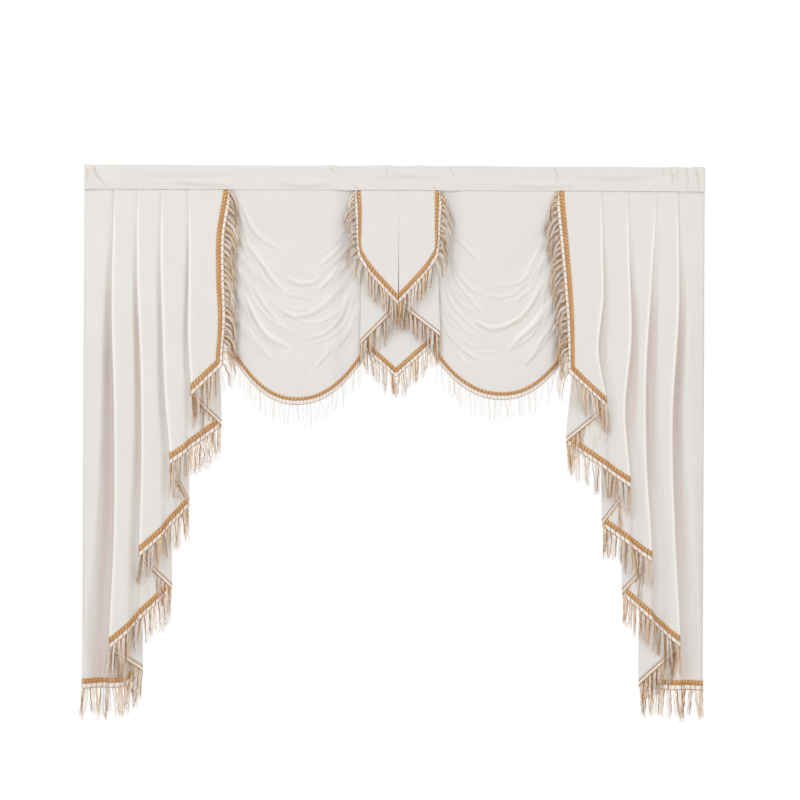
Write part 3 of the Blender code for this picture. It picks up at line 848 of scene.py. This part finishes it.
def threads_piece(name, groups, material):
    """One mesh of many threads. A group is (paths, radii, sides, tones); tones colours each."""
    points, faces, tones = [], [], []
    total = 0
    for paths, radii, sides, tone in groups:
        some, quads = tubes(paths, radii, sides)
        points.append(some)
        faces += [[corner + total for corner in face] for face in quads]
        tones.append(np.repeat(tone, paths.shape[1] * sides))
        total += len(some)
    data = bpy.data.meshes.new(name)
    data.from_pydata(np.concatenate(points).tolist(), [], faces)
    write_value(data, "tone", np.concatenate(tones).astype(np.float32))
    return link_piece(name, data, material)


# Fringes


Station = namedtuple("Station", "inner edge")


def inset_point(line, distance):
    """The point at a distance along a line of points from its first one."""
    run = run_along(line)
    return np.array([np.interp(distance, run, line[:, k]) for k in range(3)])


def hem_line(grid, braid):
    """Stations along a hem, with the braid's inner side up each column, slope allowed for."""
    hem = grid[-1]
    run = run_along(hem[:, :2])
    slope = np.minimum(np.abs(np.gradient(hem[:, 2], run + 1e-9 * np.arange(len(run)))), 2.0)
    slope = np.convolve(np.pad(slope, 4, mode="edge"), np.ones(9) / 9.0, "valid")
    reach = braid * np.sqrt(1.0 + slope**2)
    return [Station(inset_point(grid[::-1, i], reach[i]), hem[i]) for i in range(len(hem))]


def upright_line(grid, braid, from_left):
    rows = grid if from_left else grid[:, ::-1]
    return [Station(inset_point(row, braid), row[0]) for row in rows[:-4]]


def corner_station(grid, braid, column):
    """The mitred station at the corner between the hem and the upright edge of the first or the
    last column."""
    corner = grid[-1, column]
    step_in = inset_point(grid[-1, :: 1 if column == 0 else -1], braid)
    return Station(step_in + inset_point(grid[::-1, column], braid) - corner, corner)


def rounded_off(stations, at):
    """Stations with the braid's inner side smoothed round the one at a corner."""
    out = list(stations)
    for i in range(at - CORNER_REACH, at + CORNER_REACH + 1):
        span = CORNER_REACH + 1 - abs(i - at)
        near = [s.inner for s in stations[i - span : i + span + 1]]
        out[i] = Station(sum(near) / len(near), stations[i].edge)
    return out


def resampled(stations, spacing):
    """The same stations at even steps along the cut edge."""
    both = np.array([np.concatenate([to_world(s.inner), to_world(s.edge)]) for s in stations])
    run = run_along(both[:, 3:])
    places = np.linspace(0.0, run[-1], max(2, round(run[-1] / spacing)))
    even = np.column_stack([np.interp(places, run, both[:, k]) for k in range(6)])
    return even[:, :3], even[:, 3:], places


def face_normals(inner, edge, side):
    """The cloth's face-side normal at each station, smoothed a little along the edge."""
    normals = np.cross(np.gradient(edge, axis=0), inner - edge) * side
    kernel = np.ones(3) / 3.0
    padded = np.pad(unit(normals), ((1, 1), (0, 0)), mode="edge")
    smooth = np.stack([np.convolve(padded[:, k], kernel, "valid") for k in range(3)], axis=1)
    return unit(smooth)


def tape_piece(name, inner, edge, normals, places, section, off, thickness, material):
    """A tape along a cut edge: its section swept from the inner side to the edge, closed at its ends."""
    rings = []
    for share, height in section:
        rings.append(blend(inner, edge, share) + normals * (off + height * thickness))
    shares = np.array([share for share, _ in section])
    uv = np.stack([np.repeat(places, len(shares)), np.tile(shares, len(places))], axis=1)
    return link_piece(name, swept_mesh(name, np.stack(rings, axis=1), uv, True), material)


def strand_paths(roots, outward, lengths, bends, kin, draws):
    """Strands that leave their roots outwards, bend over and hang straight down. kin is the bundle
    that each one is in, which turns them nearly alike."""
    count, bundles = len(roots), kin.max() + 1
    down = np.array([0.0, 0.0, -1.0])
    splay = draws.normal(0.0, 1.0, (bundles, 3))[kin] * BUNDLE_SPLAY
    splay += draws.normal(0.0, 1.0, (count, 3)) * STRAND_SPLAY
    waver = draws.uniform(0.0, 2.0 * np.pi, (bundles, 2))[kin] + draws.normal(0.0, 0.35, (count, 2))
    curl = draws.uniform(*BUNDLE_CURLS, (bundles, 1)) * draws.choice(CURL_KINDS, (bundles, 1))
    place = roots.copy()
    paths = [place]
    for k in range(1, STRAND_STEPS):
        gone = (k - 0.5) / (STRAND_STEPS - 1) * lengths
        bent = 1.0 - (1.0 - np.clip(gone / bends, 0.0, 1.0)) ** 1.5
        over = (STRAND_DROOP + (1.0 - STRAND_DROOP) * bent)[:, None]
        swing = np.stack(
            [np.sin(waver[:, 0] + 2.3 * k), 0.4 * np.sin(waver[:, 1] + 1.7 * k), np.zeros(count)], axis=1
        )
        ahead = outward * (1.0 - over) + down * over + splay + swing * curl[kin]
        place = place + unit(ahead) * (lengths / (STRAND_STEPS - 1))[:, None]
        place[:, 1] = np.maximum(place[:, 1], STRANDS_FRONT)
        paths.append(place)
    return np.stack(paths, axis=1)


def fringe_pieces(name, stations, side, trim, sizes, seed, bare):
    """The strands with their ties and cords, the braid, and the open band. bare is how far from
    each end of the edge its strands begin."""
    braid_finish, thread_finish, band_finish = fringe_materials()
    inner, edge, places = resampled(stations, STATION_STEP)
    normals = face_normals(inner, edge, side)
    off = sizes.cloth_thickness / 2.0 + OFF_CLOTH
    braid = tape_piece(
        name + "_braid", inner, edge, normals, places, BRAID_SECTION, off, sizes.braid_thickness,
        braid_finish,
    )
    beyond = unit(edge - inner)
    reach = trim.band * blend(BAND_LEVEL, BAND_UPRIGHT, np.abs(beyond[:, :1]))
    reach = reach * blend(BAND_AT_SEAM, 1.0, eased((-SEAM - edge[:, 2:]) / BAND_SETTLES))
    band = tape_piece(
        name + "_band", edge - beyond * BAND_LAP, edge + beyond * reach, normals, places,
        BAND_SECTION, off + BAND_RAISED, sizes.braid_thickness, band_finish,
    )
    lift = normals * (off + EDGE_LIFT)
    cord = edge + beyond * (reach + CORD_LIFT) + normals * CORD_LIFT
    lines = np.stack([cord, edge + lift, edge - beyond * UNDER_EDGE - normals * (off + CORD_LIFT)])
    wide = np.repeat([[trim.cord], [EDGE_CORD], [UNDER_CORD]], len(cord), axis=1)
    draws = np.random.default_rng(seed)
    ties = np.arange(trim.pitch / 2.0, places[-1], trim.pitch)
    ties = ties + draws.uniform(-0.12, 0.12, len(ties)) * trim.pitch

    def at(values, where):
        return np.column_stack([np.interp(where, places, values[:, k]) for k in range(3)])

    foot, head = at(cord + normals * TIE_LIFT, ties), at(edge + lift, ties)
    rungs = np.stack([blend(head, foot, s) for s in TIE_SHARES], axis=1)
    rung_wide = np.tile(TIE_WIDTHS, (len(ties), 1)) * trim.tie
    shown = ties[(ties > bare) & (ties < places[-1] - bare)]
    kin = np.repeat(np.arange(len(shown)), trim.threads)
    count = len(kin)
    brown = draws.uniform(0.0, 1.0, count) < BROWN_SHARE - 0.3 * trim.pale
    shift, spread = np.where(brown, BROWN_SHIFT, PALE_SHIFT), np.where(brown, BROWN_SPREAD, PALE_SPREAD)
    roots_at = shown[kin] + (shift + draws.normal(0.0, 1.0, count) * spread) * trim.pitch
    roots_at = np.clip(roots_at, END_MARGIN, places[-1] - END_MARGIN)
    roots = at(cord, roots_at) + at(normals, roots_at) * draws.uniform(0.0, ROOT_DEPTH, (count, 1))
    outward = unit(at(beyond, roots_at) + at(normals, roots_at) * 0.15)
    even = draws.uniform(*BUNDLE_LENGTHS, len(shown))[kin]
    lengths = trim.length * sizes.strand_length * even * draws.uniform(*STRAND_LENGTHS, count)
    bends = trim.bend * draws.uniform(*BUNDLE_BENDS, len(shown))[kin] * draws.uniform(*STRAND_BENDS, count)
    paths = strand_paths(roots, outward, lengths, bends, kin, draws)
    taper = np.linspace(1.0, STRAND_TIP, STRAND_STEPS)
    radii = trim.thick * taper * draws.uniform(*STRAND_WIDTHS, (count, 1))
    radii = radii * np.where(brown, BROWN_THICK, 1.0)[:, None]
    mood = draws.choice(BUNDLE_TONES, len(shown))[kin]
    tones = np.where(brown, BROWN_TONE, mood + trim.pale) + draws.normal(0.0, TONE_SPREAD, count)
    groups = [
        (lines, wide, 5, np.array(CORD_TONES)),
        (rungs, rung_wide, 4, draws.uniform(*TIE_TONES, len(ties))),
        (paths, radii, 3, np.clip(tones, 0.0, 1.0)),
    ]
    return threads_piece(name + "_strands", groups, thread_finish), braid, band


# Materials


class Value:
    """A number or colour at every point of a material. Arithmetic with it adds Math nodes."""

    def __init__(self, tree, socket):
        self.tree, self.socket = tree, socket

    def to(self, slot):
        self.tree.links.new(self.socket, slot)

    def maths(self, operation, *values):
        """A Math node's result. Its inputs are the values, of which this is one."""
        node = self.tree.nodes.new("ShaderNodeMath")
        node.operation = operation
        for slot, value in zip(node.inputs, values):
            if isinstance(value, Value):
                value.to(slot)
            else:
                slot.default_value = value
        return Value(self.tree, node.outputs[0])

    def __add__(self, other):
        return self.maths("ADD", self, other)

    def __sub__(self, other):
        return self.maths("SUBTRACT", self, other)

    def __rsub__(self, other):
        return self.maths("SUBTRACT", other, self)

    def __mul__(self, other):
        return self.maths("MULTIPLY", self, other)

    def __pow__(self, other):
        return self.maths("POWER", self, other)

    def __abs__(self):
        return self.maths("ABSOLUTE", self)

    def wave(self):
        """The size of its sine, from 0 to 1."""
        return abs(self.maths("SINE", self))

    def most(self, other):
        return self.maths("MAXIMUM", self, other)


def noise(vector, scale, detail):
    node = vector.tree.nodes.new("ShaderNodeTexNoise")
    node.inputs["Scale"].default_value = scale
    node.inputs["Detail"].default_value = detail
    vector.to(node.inputs["Vector"])
    return Value(vector.tree, node.outputs["Fac"])


def mixed(share, first, second):
    """The colour at a share from the first to the second, each a Value or (red, green, blue)."""
    node = share.tree.nodes.new("ShaderNodeMix")
    node.data_type = "RGBA"
    share.to(node.inputs["Factor"])
    for colour, slot in ((first, node.inputs[6]), (second, node.inputs[7])):
        if isinstance(colour, Value):
            colour.to(slot)
        else:
            slot.default_value = (*colour, 1.0)
    return Value(share.tree, node.outputs[2])


def node_value(tree, kind, output, **settings):
    """The Value that a new node gives."""
    node = tree.nodes.new(kind)
    for key, value in settings.items():
        setattr(node, key, value)
    return Value(tree, node.outputs[output])


def trim_lengths(tree):
    """Along a trim in metres, across it from 0 to 1, and both as one vector."""
    both = node_value(tree, "ShaderNodeUVMap", 0, uv_map="cloth")
    parts = tree.nodes.new("ShaderNodeSeparateXYZ")
    both.to(parts.inputs[0])
    return Value(tree, parts.outputs["X"]), Value(tree, parts.outputs["Y"]), both


def shaded(name, roughness, sheen):
    material = bpy.data.materials.new(name)
    material.use_nodes = True
    shader = material.node_tree.nodes["Principled BSDF"]
    shader.inputs["Roughness"].default_value = roughness
    shader.inputs["Sheen Weight"].default_value = sheen
    return material, material.node_tree, shader.inputs


def bumped(inputs, height, strength, distance):
    bump = height.tree.nodes.new("ShaderNodeBump")
    bump.inputs["Strength"].default_value = strength
    bump.inputs["Distance"].default_value = distance
    height.to(bump.inputs["Height"])
    height.tree.links.new(bump.outputs[0], inputs["Normal"])


def weave_group():
    """Satin's fine floats and slight slubs, from the cloth's own lengths."""
    group = bpy.data.node_groups.new("satin_weave", "ShaderNodeTree")
    sockets = (
        ("Vector", "INPUT", "Vector"), ("Colour", "INPUT", "Color"), ("Colour", "OUTPUT", "Color"),
        ("Height", "OUTPUT", "Float"), ("Roughness", "OUTPUT", "Float"),
    )
    for label, way, kind in sockets:
        group.interface.new_socket(label, in_out=way, socket_type="NodeSocket" + kind)
    start, end = group.nodes.new("NodeGroupInput"), group.nodes.new("NodeGroupOutput")
    vector = Value(group, start.outputs["Vector"])
    stretch = group.nodes.new("ShaderNodeMapping")
    stretch.inputs["Scale"].default_value = (1.0, 0.12, 1.0)
    vector.to(stretch.inputs["Vector"])
    stretched = Value(group, stretch.outputs[0])
    floats, slubs, clouds = noise(stretched, *FLOATS), noise(stretched, *SLUBS), noise(vector, *CLOUDS)
    tint = group.nodes.new("ShaderNodeVectorMath")
    tint.operation = "SCALE"
    group.links.new(start.outputs["Colour"], tint.inputs[0])
    ((clouds - 0.5) * MOTTLE + (slubs - 0.5) * STREAK + 1.0).to(tint.inputs["Scale"])
    group.links.new(tint.outputs[0], end.inputs["Colour"])
    (floats * 0.3 + slubs * 0.7).to(end.inputs["Height"])
    (slubs * 0.12 + 0.36).to(end.inputs["Roughness"])
    return group


def satin_material(name, colours):
    """White satin, with painted highlights along its front folds and raised creases, and painted warm
    shade in its tucks and hollows.
    """
    material, tree, inputs = shaded(name, 0.5, 0.12)
    cloth = tree.nodes.new("ShaderNodeGroup")
    cloth.node_tree = weave_group()
    cloth.inputs["Colour"].default_value = (*colours.satin, 1.0)
    node_value(tree, "ShaderNodeUVMap", 0, uv_map="cloth").to(cloth.inputs["Vector"])
    painted_light_map = node_value(tree, "ShaderNodeAttribute", "Fac", attribute_name="painted_light")
    painted_highlight_colour = [min(1.0, c * PAINTED_HIGHLIGHT_SHARE) for c in colours.satin]
    painted_shade_colour = [c * share for c, share in zip(colours.satin, PAINTED_SHADE_SHARES)]
    # Mixed towards the painted highlight colour where the attribute is above 0, and towards the painted
    # warm shade colour where it is below.
    lit = mixed(painted_light_map.most(0.0), Value(tree, cloth.outputs["Colour"]), painted_highlight_colour)
    mixed((painted_light_map * -1.0).most(0.0), lit, painted_shade_colour).to(inputs["Base Color"])
    tree.links.new(cloth.outputs["Roughness"], inputs["Roughness"])
    bumped(inputs, Value(tree, cloth.outputs["Height"]), 0.25, 0.0004)
    inputs["Sheen Roughness"].default_value = 0.4
    inputs["Specular IOR Level"].default_value = 0.35
    return material


def braid_material(name, colours):
    """Gold braid: corded rims, and between them slanting threads with beads in patches, the beads with
    painted highlights.
    """
    material, tree, inputs = shaded(name, 0.48, 0.2)
    run, across, both = trim_lengths(tree)
    middle = abs(across - 0.5)
    threads = ((run * BRAID_THREADS + middle * 3.0) * math.pi).wave()
    uneven = noise(both, 140.0, 3.0)
    rim = middle.maths("GREATER_THAN", middle, BRAID_RIM)
    groove = middle.maths("COMPARE", middle, BRAID_GROOVE, 0.045)
    beads = (run * BRAID_BEADS + across * 1.6 + uneven * 3.5).wave()
    patch = (noise(both, 16.0, 1.0) - 0.26) * 3.4
    cells = beads * patch
    inner_side = (0.6 - across) * 0.35
    light = (threads * 0.25 + cells * 0.45 + uneven * 0.45 + inner_side) * 1.35 - 0.30
    base = mixed(light, colours.gold_dark, colours.gold)
    # Painted highlights on the tops of the beads, away from the rims; the rims and these are mixed towards
    # pale gold.
    painted_bead_highlight = (1.0 - rim) * cells**4.0
    pale_rims_and_bead_highlights = mixed((rim + painted_bead_highlight) * (light * 0.55), base, colours.gold_pale)
    dark = groove.most((1.0 - beads) ** 3.0 * patch) * 0.7
    mixed(dark, pale_rims_and_bead_highlights, colours.gold_dark).to(inputs["Base Color"])
    bumped(inputs, light, 0.6, 0.0006)
    return material


def band_material(name, _):
    """The white net band between braid and cord: fine crossing threads, with painted shade in its small
    holes.
    """
    material, tree, inputs = shaded(name, 0.7, 0.0)
    run, across, _ = trim_lengths(tree)
    threads = (run * NET_WARP).wave().most((across * NET_WEFT).wave())
    mixed(threads, NET_HOLE_SHADE, NET_THREADS).to(inputs["Base Color"])
    bumped(inputs, threads, 0.5, 0.0004)
    return material


def strand_material(name, colours):
    """Fringe threads, from brown through gold to a pale tan by each thread's own tone."""
    material, tree, inputs = shaded(name, 0.5, 0.15)
    tone = node_value(tree, "ShaderNodeAttribute", "Fac", attribute_name="tone")
    fleck = noise(node_value(tree, "ShaderNodeTexCoord", "Object"), 160.0, 2.0)
    ramp = tree.nodes.new("ShaderNodeValToRGB")
    stops = ramp.color_ramp.elements
    stops[0].color, stops[1].color = (*colours.gold_dark, 1.0), (*THREAD_TIP, 1.0)
    for position, colour in ((0.30, colours.gold), (0.62, colours.gold_pale)):
        stops.new(position).color = (*colour, 1.0)
    (tone + (fleck - 0.5) * 0.3).to(ramp.inputs["Fac"])
    tree.links.new(ramp.outputs["Color"], inputs["Base Color"])
    return material


def floor_material(name, colours):
    material, tree, inputs = shaded(name, 0.8, 0.0)
    speck = noise(node_value(tree, "ShaderNodeTexCoord", "Object"), 3.0, 2.0)
    mixed(speck, [0.97 * c for c in colours.floor], colours.floor).to(inputs["Base Color"])
    return material


def finish(name, make):
    """The material of that name, made the first time that it is asked for."""
    return bpy.data.materials.get(name) or make(name, bpy.context.scene.valance_colours)


def fringe_materials():
    return (
        finish("gold_braid", braid_material),
        finish("fringe_threads", strand_material),
        finish("white_net_band", band_material),
    )


def hung_cloth(piece, node):
    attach(piece, "root")
    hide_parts(node)


def trimmed_cloth(name, grid, painted_light, stations, side, trim, seed, bare):
    """A cloth that hangs from the pocket, with the fringe along its stations."""
    sizes = bpy.context.scene.valance_sizes
    satin = finish("white_satin", satin_material)
    cloth = cloth_piece(name + "_cloth", grid, painted_light, sizes.cloth_thickness, satin)
    trims = fringe_pieces(name, stations, side, trim, sizes, sizes.strand_seed + seed, bare)
    for piece in trims:
        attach(piece, "root")
    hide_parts(name + "_fringe")
    area = round(cloth_area(grid), 3)
    hung_cloth(cloth, name)


# Pocket


def pocket_loop(rise, bulge, count):
    """The pocket's section, a closed loop of (forward, drop): flat below and round on top."""
    half, corner = POCKET_DEPTH / 2.0, POCKET_CORNER
    arc = [math.radians(a) for a in np.linspace(-90, 90, count)]
    points = [(half * math.sin(a), half - (half + rise) * math.cos(a)) for a in arc]
    side = np.linspace(half, POCKET_HEIGHT - corner, count)[1:]
    swell = np.sin(np.pi * (side - half) / (side[-1] - half)) * bulge
    lean = POCKET_LEAN * MM * eased((side - 0.6 * POCKET_HEIGHT) / (0.4 * POCKET_HEIGHT))
    front = [(half + s - back, d) for s, back, d in zip(swell, lean, side)]
    turn = [math.radians(a) for a in np.linspace(0, 90, 5)][1:]
    foot = [(corner * math.cos(a) - corner, POCKET_HEIGHT - corner + corner * math.sin(a)) for a in turn]
    toe = front[-1][0]
    under = [(f, POCKET_HEIGHT) for f in np.linspace(toe - corner, corner - half, 6)[1:]]
    heel = [(-half - f, d) for f, d in foot[::-1][1:]] + [(-half, POCKET_HEIGHT - corner)]
    foot = [(toe + f, d) for f, d in foot]
    back = [(-half, d) for d in side[::-1][1:]]
    return np.array(points + front + foot + under + heel + back)


def gathers(x, down):
    """Forward of the small uneven gathers that run down from the pocket's top edge."""
    draws = np.random.default_rng(GATHERS_SEED)
    out = np.zeros(np.broadcast(x, down).shape)
    for at in draws.uniform(-EDGE, EDGE, GATHERS) * MM:
        wide, long = draws.uniform(0.0025, 0.006), draws.uniform(0.12, 0.55)
        lean, deep = draws.uniform(-0.012, 0.012), draws.uniform(0.25, 0.8) * MM
        here = np.exp(-(((x - at - lean * down) / wide) ** 2)) * np.exp(-((down / long) ** 2))
        out -= deep * here * (1.0 if draws.uniform() < 0.6 else -0.6)
    return out


def pocket_grid():
    places = [p.x for p in PUCKERS]
    loops = []
    for x in np.linspace(-EDGE, EDGE, POCKET_LOOPS):
        spot = float(np.interp(x, places, range(len(places)))) / (len(places) - 1)
        rise = along([p.rise for p in PUCKERS], spot)
        bulge = along([p.bulge for p in PUCKERS], spot)
        small = 0.25 * math.sin(x / 9.0) * math.sin(x / 61.0) + 0.15 * math.sin(x / 5.3 + 1.0)
        loop = pocket_loop((rise + small) * MM, (bulge + 0.5 * small) * MM, POCKET_STEPS)
        down = loop[:, 1] / POCKET_HEIGHT
        streak = np.sin(2.0 * np.pi * (3.1 * down + 0.5 * math.sin(x / 170.0) + x / 1300.0))
        on_front = (loop[:, 0] > 0.0) * np.sin(np.pi * np.clip(down, 0.0, 1.0))
        loop[:, 0] += 0.3 * MM * streak * on_front * (0.5 + 0.5 * math.sin(x / 83.0))
        lifted = 0.45 + 0.3 * math.sin(x / 23.0) * math.sin(x / 71.0) + 0.2 * math.sin(x / 7.7)
        loop[:, 1] -= lifted * 1.1 * MM * eased((down - 0.55) / 0.4)
        loops.append(np.column_stack([np.full(len(loop), x * MM), loop]))
    grid = np.array(loops)
    front = grid[..., 1] > POCKET_FRONT
    down = grid[..., 2] / POCKET_HEIGHT
    grid[..., 1] += gathers(grid[..., 0], down) * (grid[..., 1] > 0.0)
    relief, painted_light = crease_relief(POCKET_CREASES, grid[..., 0], grid[..., 2])
    grid[..., 1] += relief * front
    # The front's painted light: painted highlights on the creases' ridges, painted shade in their troughs,
    # and painted shade over the upper part (high), darker towards the top.
    high = eased((0.62 - down) / 0.25)
    return grid, (0.6 * painted_light - 0.9 * hollow_shade(relief, 1.6) - 0.18 * high) * front


class VALANCE_OT_heading(bpy.types.Operator):
    """Build the rod pocket along the top"""

    bl_idname = "valance.heading"
    bl_label = "Heading"

    def execute(self, context):
        grid, painted_light = pocket_grid()
        points = to_world(grid)
        loops, count, _ = points.shape
        around = np.linalg.norm(np.diff(points, axis=1), axis=2).mean(axis=0).cumsum()
        around = np.concatenate([[0.0], around])
        uv = np.stack([np.repeat(points[:, 0, 0], count), np.tile(around, loops)], axis=1)
        data = swept_mesh("rod_pocket_cloth", points, uv, False)
        write_value(data, "painted_light", painted_light)
        piece = link_piece("rod_pocket_cloth", data, finish("white_satin", satin_material))
        thickened(piece, context.scene.valance_sizes.cloth_thickness, -1.0)
        hung_cloth(piece, "rod_pocket")
        return {"FINISHED"}


class VALANCE_OT_tails(bpy.types.Operator):
    """Build the two pleated tails with their fringes"""

    bl_idname = "valance.tails"
    bl_label = "Tails"

    def execute(self, context):
        plans = (
            ("left_tail", LEFT_TAIL, LEFT_TUCKS, -1.0, 11, (1.20, 1.43)),
            ("right_tail", RIGHT_TAIL, RIGHT_TUCKS, 1.0, 23, (1.25, 1.43)),
        )
        for name, folds, tucks, side, seed, flat in plans:
            grid = pleated_grid(folds, TAIL_STACK, TAIL_WAVES, tucks, TAIL_ROWS)
            # Painted highlights beside the front folds, less the painted warm shade in the tucks.
            painted_light_map = painted_fold_highlights(folds, grid) - tuck_shade(folds, tucks, grid)
            braid = TAIL_TRIM.braid
            stations = upright_line(grid, braid, True) + [corner_station(grid, braid, 0)]
            stations += hem_line(grid, braid)[2:]
            trimmed_cloth(name, grid, painted_light_map, stations, side, TAIL_TRIM, seed, 0.0)
        return {"FINISHED"}


class VALANCE_OT_swags(bpy.types.Operator):
    """Build the two draped swags with their fringes"""

    bl_idname = "valance.swags"
    bl_label = "Swags"

    def execute(self, context):
        plans = (
            ("left_swag", LEFT_SWAG, LEFT_SWAG_SPAN, LEFT_SWAG_CREASES, 31, (0.45, 0.62)),
            ("right_swag", RIGHT_SWAG, RIGHT_SWAG_SPAN, RIGHT_SWAG_CREASES, 43, (0.43, 0.60)),
        )
        for name, sweeps, span, creases, seed, flat in plans:
            grid, painted_light = swag_grid(sweeps, span, creases)
            stations = hem_line(grid, SWAG_TRIM.braid)
            trimmed_cloth(name, grid, painted_light, stations, 1.0, SWAG_TRIM, seed, SWAG_BARE)
        return {"FINISHED"}


class VALANCE_OT_jabot(bpy.types.Operator):
    """Build the centre jabot with its fringe"""

    bl_idname = "valance.jabot"
    bl_label = "Centre jabot"

    def execute(self, context):
        grid = pleated_grid(CENTRE_JABOT, JABOT_STACK, JABOT_WAVES, (), JABOT_ROWS, JABOT_ROUNDED)
        plain, braid = np.zeros(grid.shape[:2]), JABOT_TRIM.braid
        stations = upright_line(grid, braid, True)
        corners = [len(stations)]
        stations += [corner_station(grid, braid, 0)] + hem_line(grid, braid)[2:-2]
        corners.append(len(stations))
        stations += [corner_station(grid, braid, -1)] + upright_line(grid, braid, False)[::-1]
        for corner in corners:
            stations = rounded_off(stations, corner)
        trimmed_cloth(
            "centre_jabot", grid, plain, stations, 1.0, JABOT_TRIM, 57, 0.0
        )
        return {"FINISHED"}


def soft_light(name, place, aim, width, energy):
    lamp = bpy.data.lights.new(name, "AREA")
    lamp.color = DAYLIGHT
    lamp.shape = "SQUARE"
    lamp.size = width
    lamp.energy = energy
    holder = bpy.data.objects.new(name, lamp)
    bpy.context.scene.collection.objects.link(holder)
    away = np.array(place) - np.array(aim)
    flat = math.hypot(away[0], away[1])
    holder.location = place
    holder.rotation_euler = (math.atan2(flat, away[2]), 0.0, math.atan2(away[1], away[0]) + math.pi / 2)


class VALANCE_OT_studio(bpy.types.Operator):
    """Set up the floor, the soft lights and the camera"""

    bl_idname = "valance.studio"
    bl_label = "Studio"

    def execute(self, context):
        scene = context.scene
        scene.view_settings.view_transform = "Standard"
        bpy.ops.mesh.primitive_plane_add(size=1.0, location=(0.0, 0.0, 0.0))
        floor = context.active_object
        floor.name = "studio_floor"
        for vertex, (x, y) in zip(floor.data.vertices, FLOOR_CORNERS):
            vertex.co = (x, y, -FLOOR_DROP)
        floor.data.materials.append(finish("studio_floor", floor_material))
        world = bpy.data.worlds.new("studio")
        scene.world = world
        world.use_nodes = True
        tree = world.node_tree
        sky = tree.nodes["Background"].inputs
        seen = node_value(tree, "ShaderNodeLightPath", "Is Camera Ray")
        mixed(seen, AMBIENT_COLOUR, (1.0, 1.0, 1.0)).to(sky["Color"])
        (seen * (1.0 - AMBIENT) + AMBIENT).to(sky["Strength"])
        for light in LIGHTS:
            soft_light(*light)
        camera = bpy.data.objects.new("camera", bpy.data.cameras.new("camera"))
        scene.collection.objects.link(camera)
        camera.data.sensor_width = SENSOR
        camera.data.lens = SENSOR * CAMERA_AWAY / PICTURE_WIDTH
        camera.location = (CAMERA_ASIDE, -CAMERA_AWAY, -CAMERA_LOW)
        camera.rotation_euler = (math.pi / 2, math.radians(CAMERA_ROLL), 0.0)
        scene.camera = camera
        return {"FINISHED"}


class VALANCE_PT_panel(bpy.types.Panel):
    """Sizes, colours and steps of the valance"""

    bl_idname = "VALANCE_PT_panel"
    bl_label = "Valance"
    bl_space_type = "VIEW_3D"
    bl_region_type = "UI"
    bl_category = "Valance"

    def draw(self, context):
        for group in (context.scene.valance_sizes, context.scene.valance_colours):
            for name in group.__annotations__:
                self.layout.prop(group, name)
        for step in STEPS:
            self.layout.operator(step.bl_idname)


STEPS = (
    VALANCE_OT_heading,
    VALANCE_OT_tails,
    VALANCE_OT_swags,
    VALANCE_OT_jabot,
    VALANCE_OT_studio,
)
CLASSES = (ValanceSizes, ValanceColours, *STEPS, VALANCE_PT_panel)


def register():
    for kind in CLASSES:
        bpy.utils.register_class(kind)
    bpy.types.Scene.valance_sizes = PointerProperty(type=ValanceSizes)
    bpy.types.Scene.valance_colours = PointerProperty(type=ValanceColours)


def unregister():
    del bpy.types.Scene.valance_colours
    del bpy.types.Scene.valance_sizes
    for kind in reversed(CLASSES):
        bpy.utils.unregister_class(kind)


def main():
    register()
    bpy.ops.object.select_all(action="DESELECT")
    bpy.ops.valance.heading()
    bpy.ops.valance.tails()
    bpy.ops.valance.swags()
    bpy.ops.valance.jabot()
    bpy.ops.valance.studio()


if __name__ == "__main__":
    main()
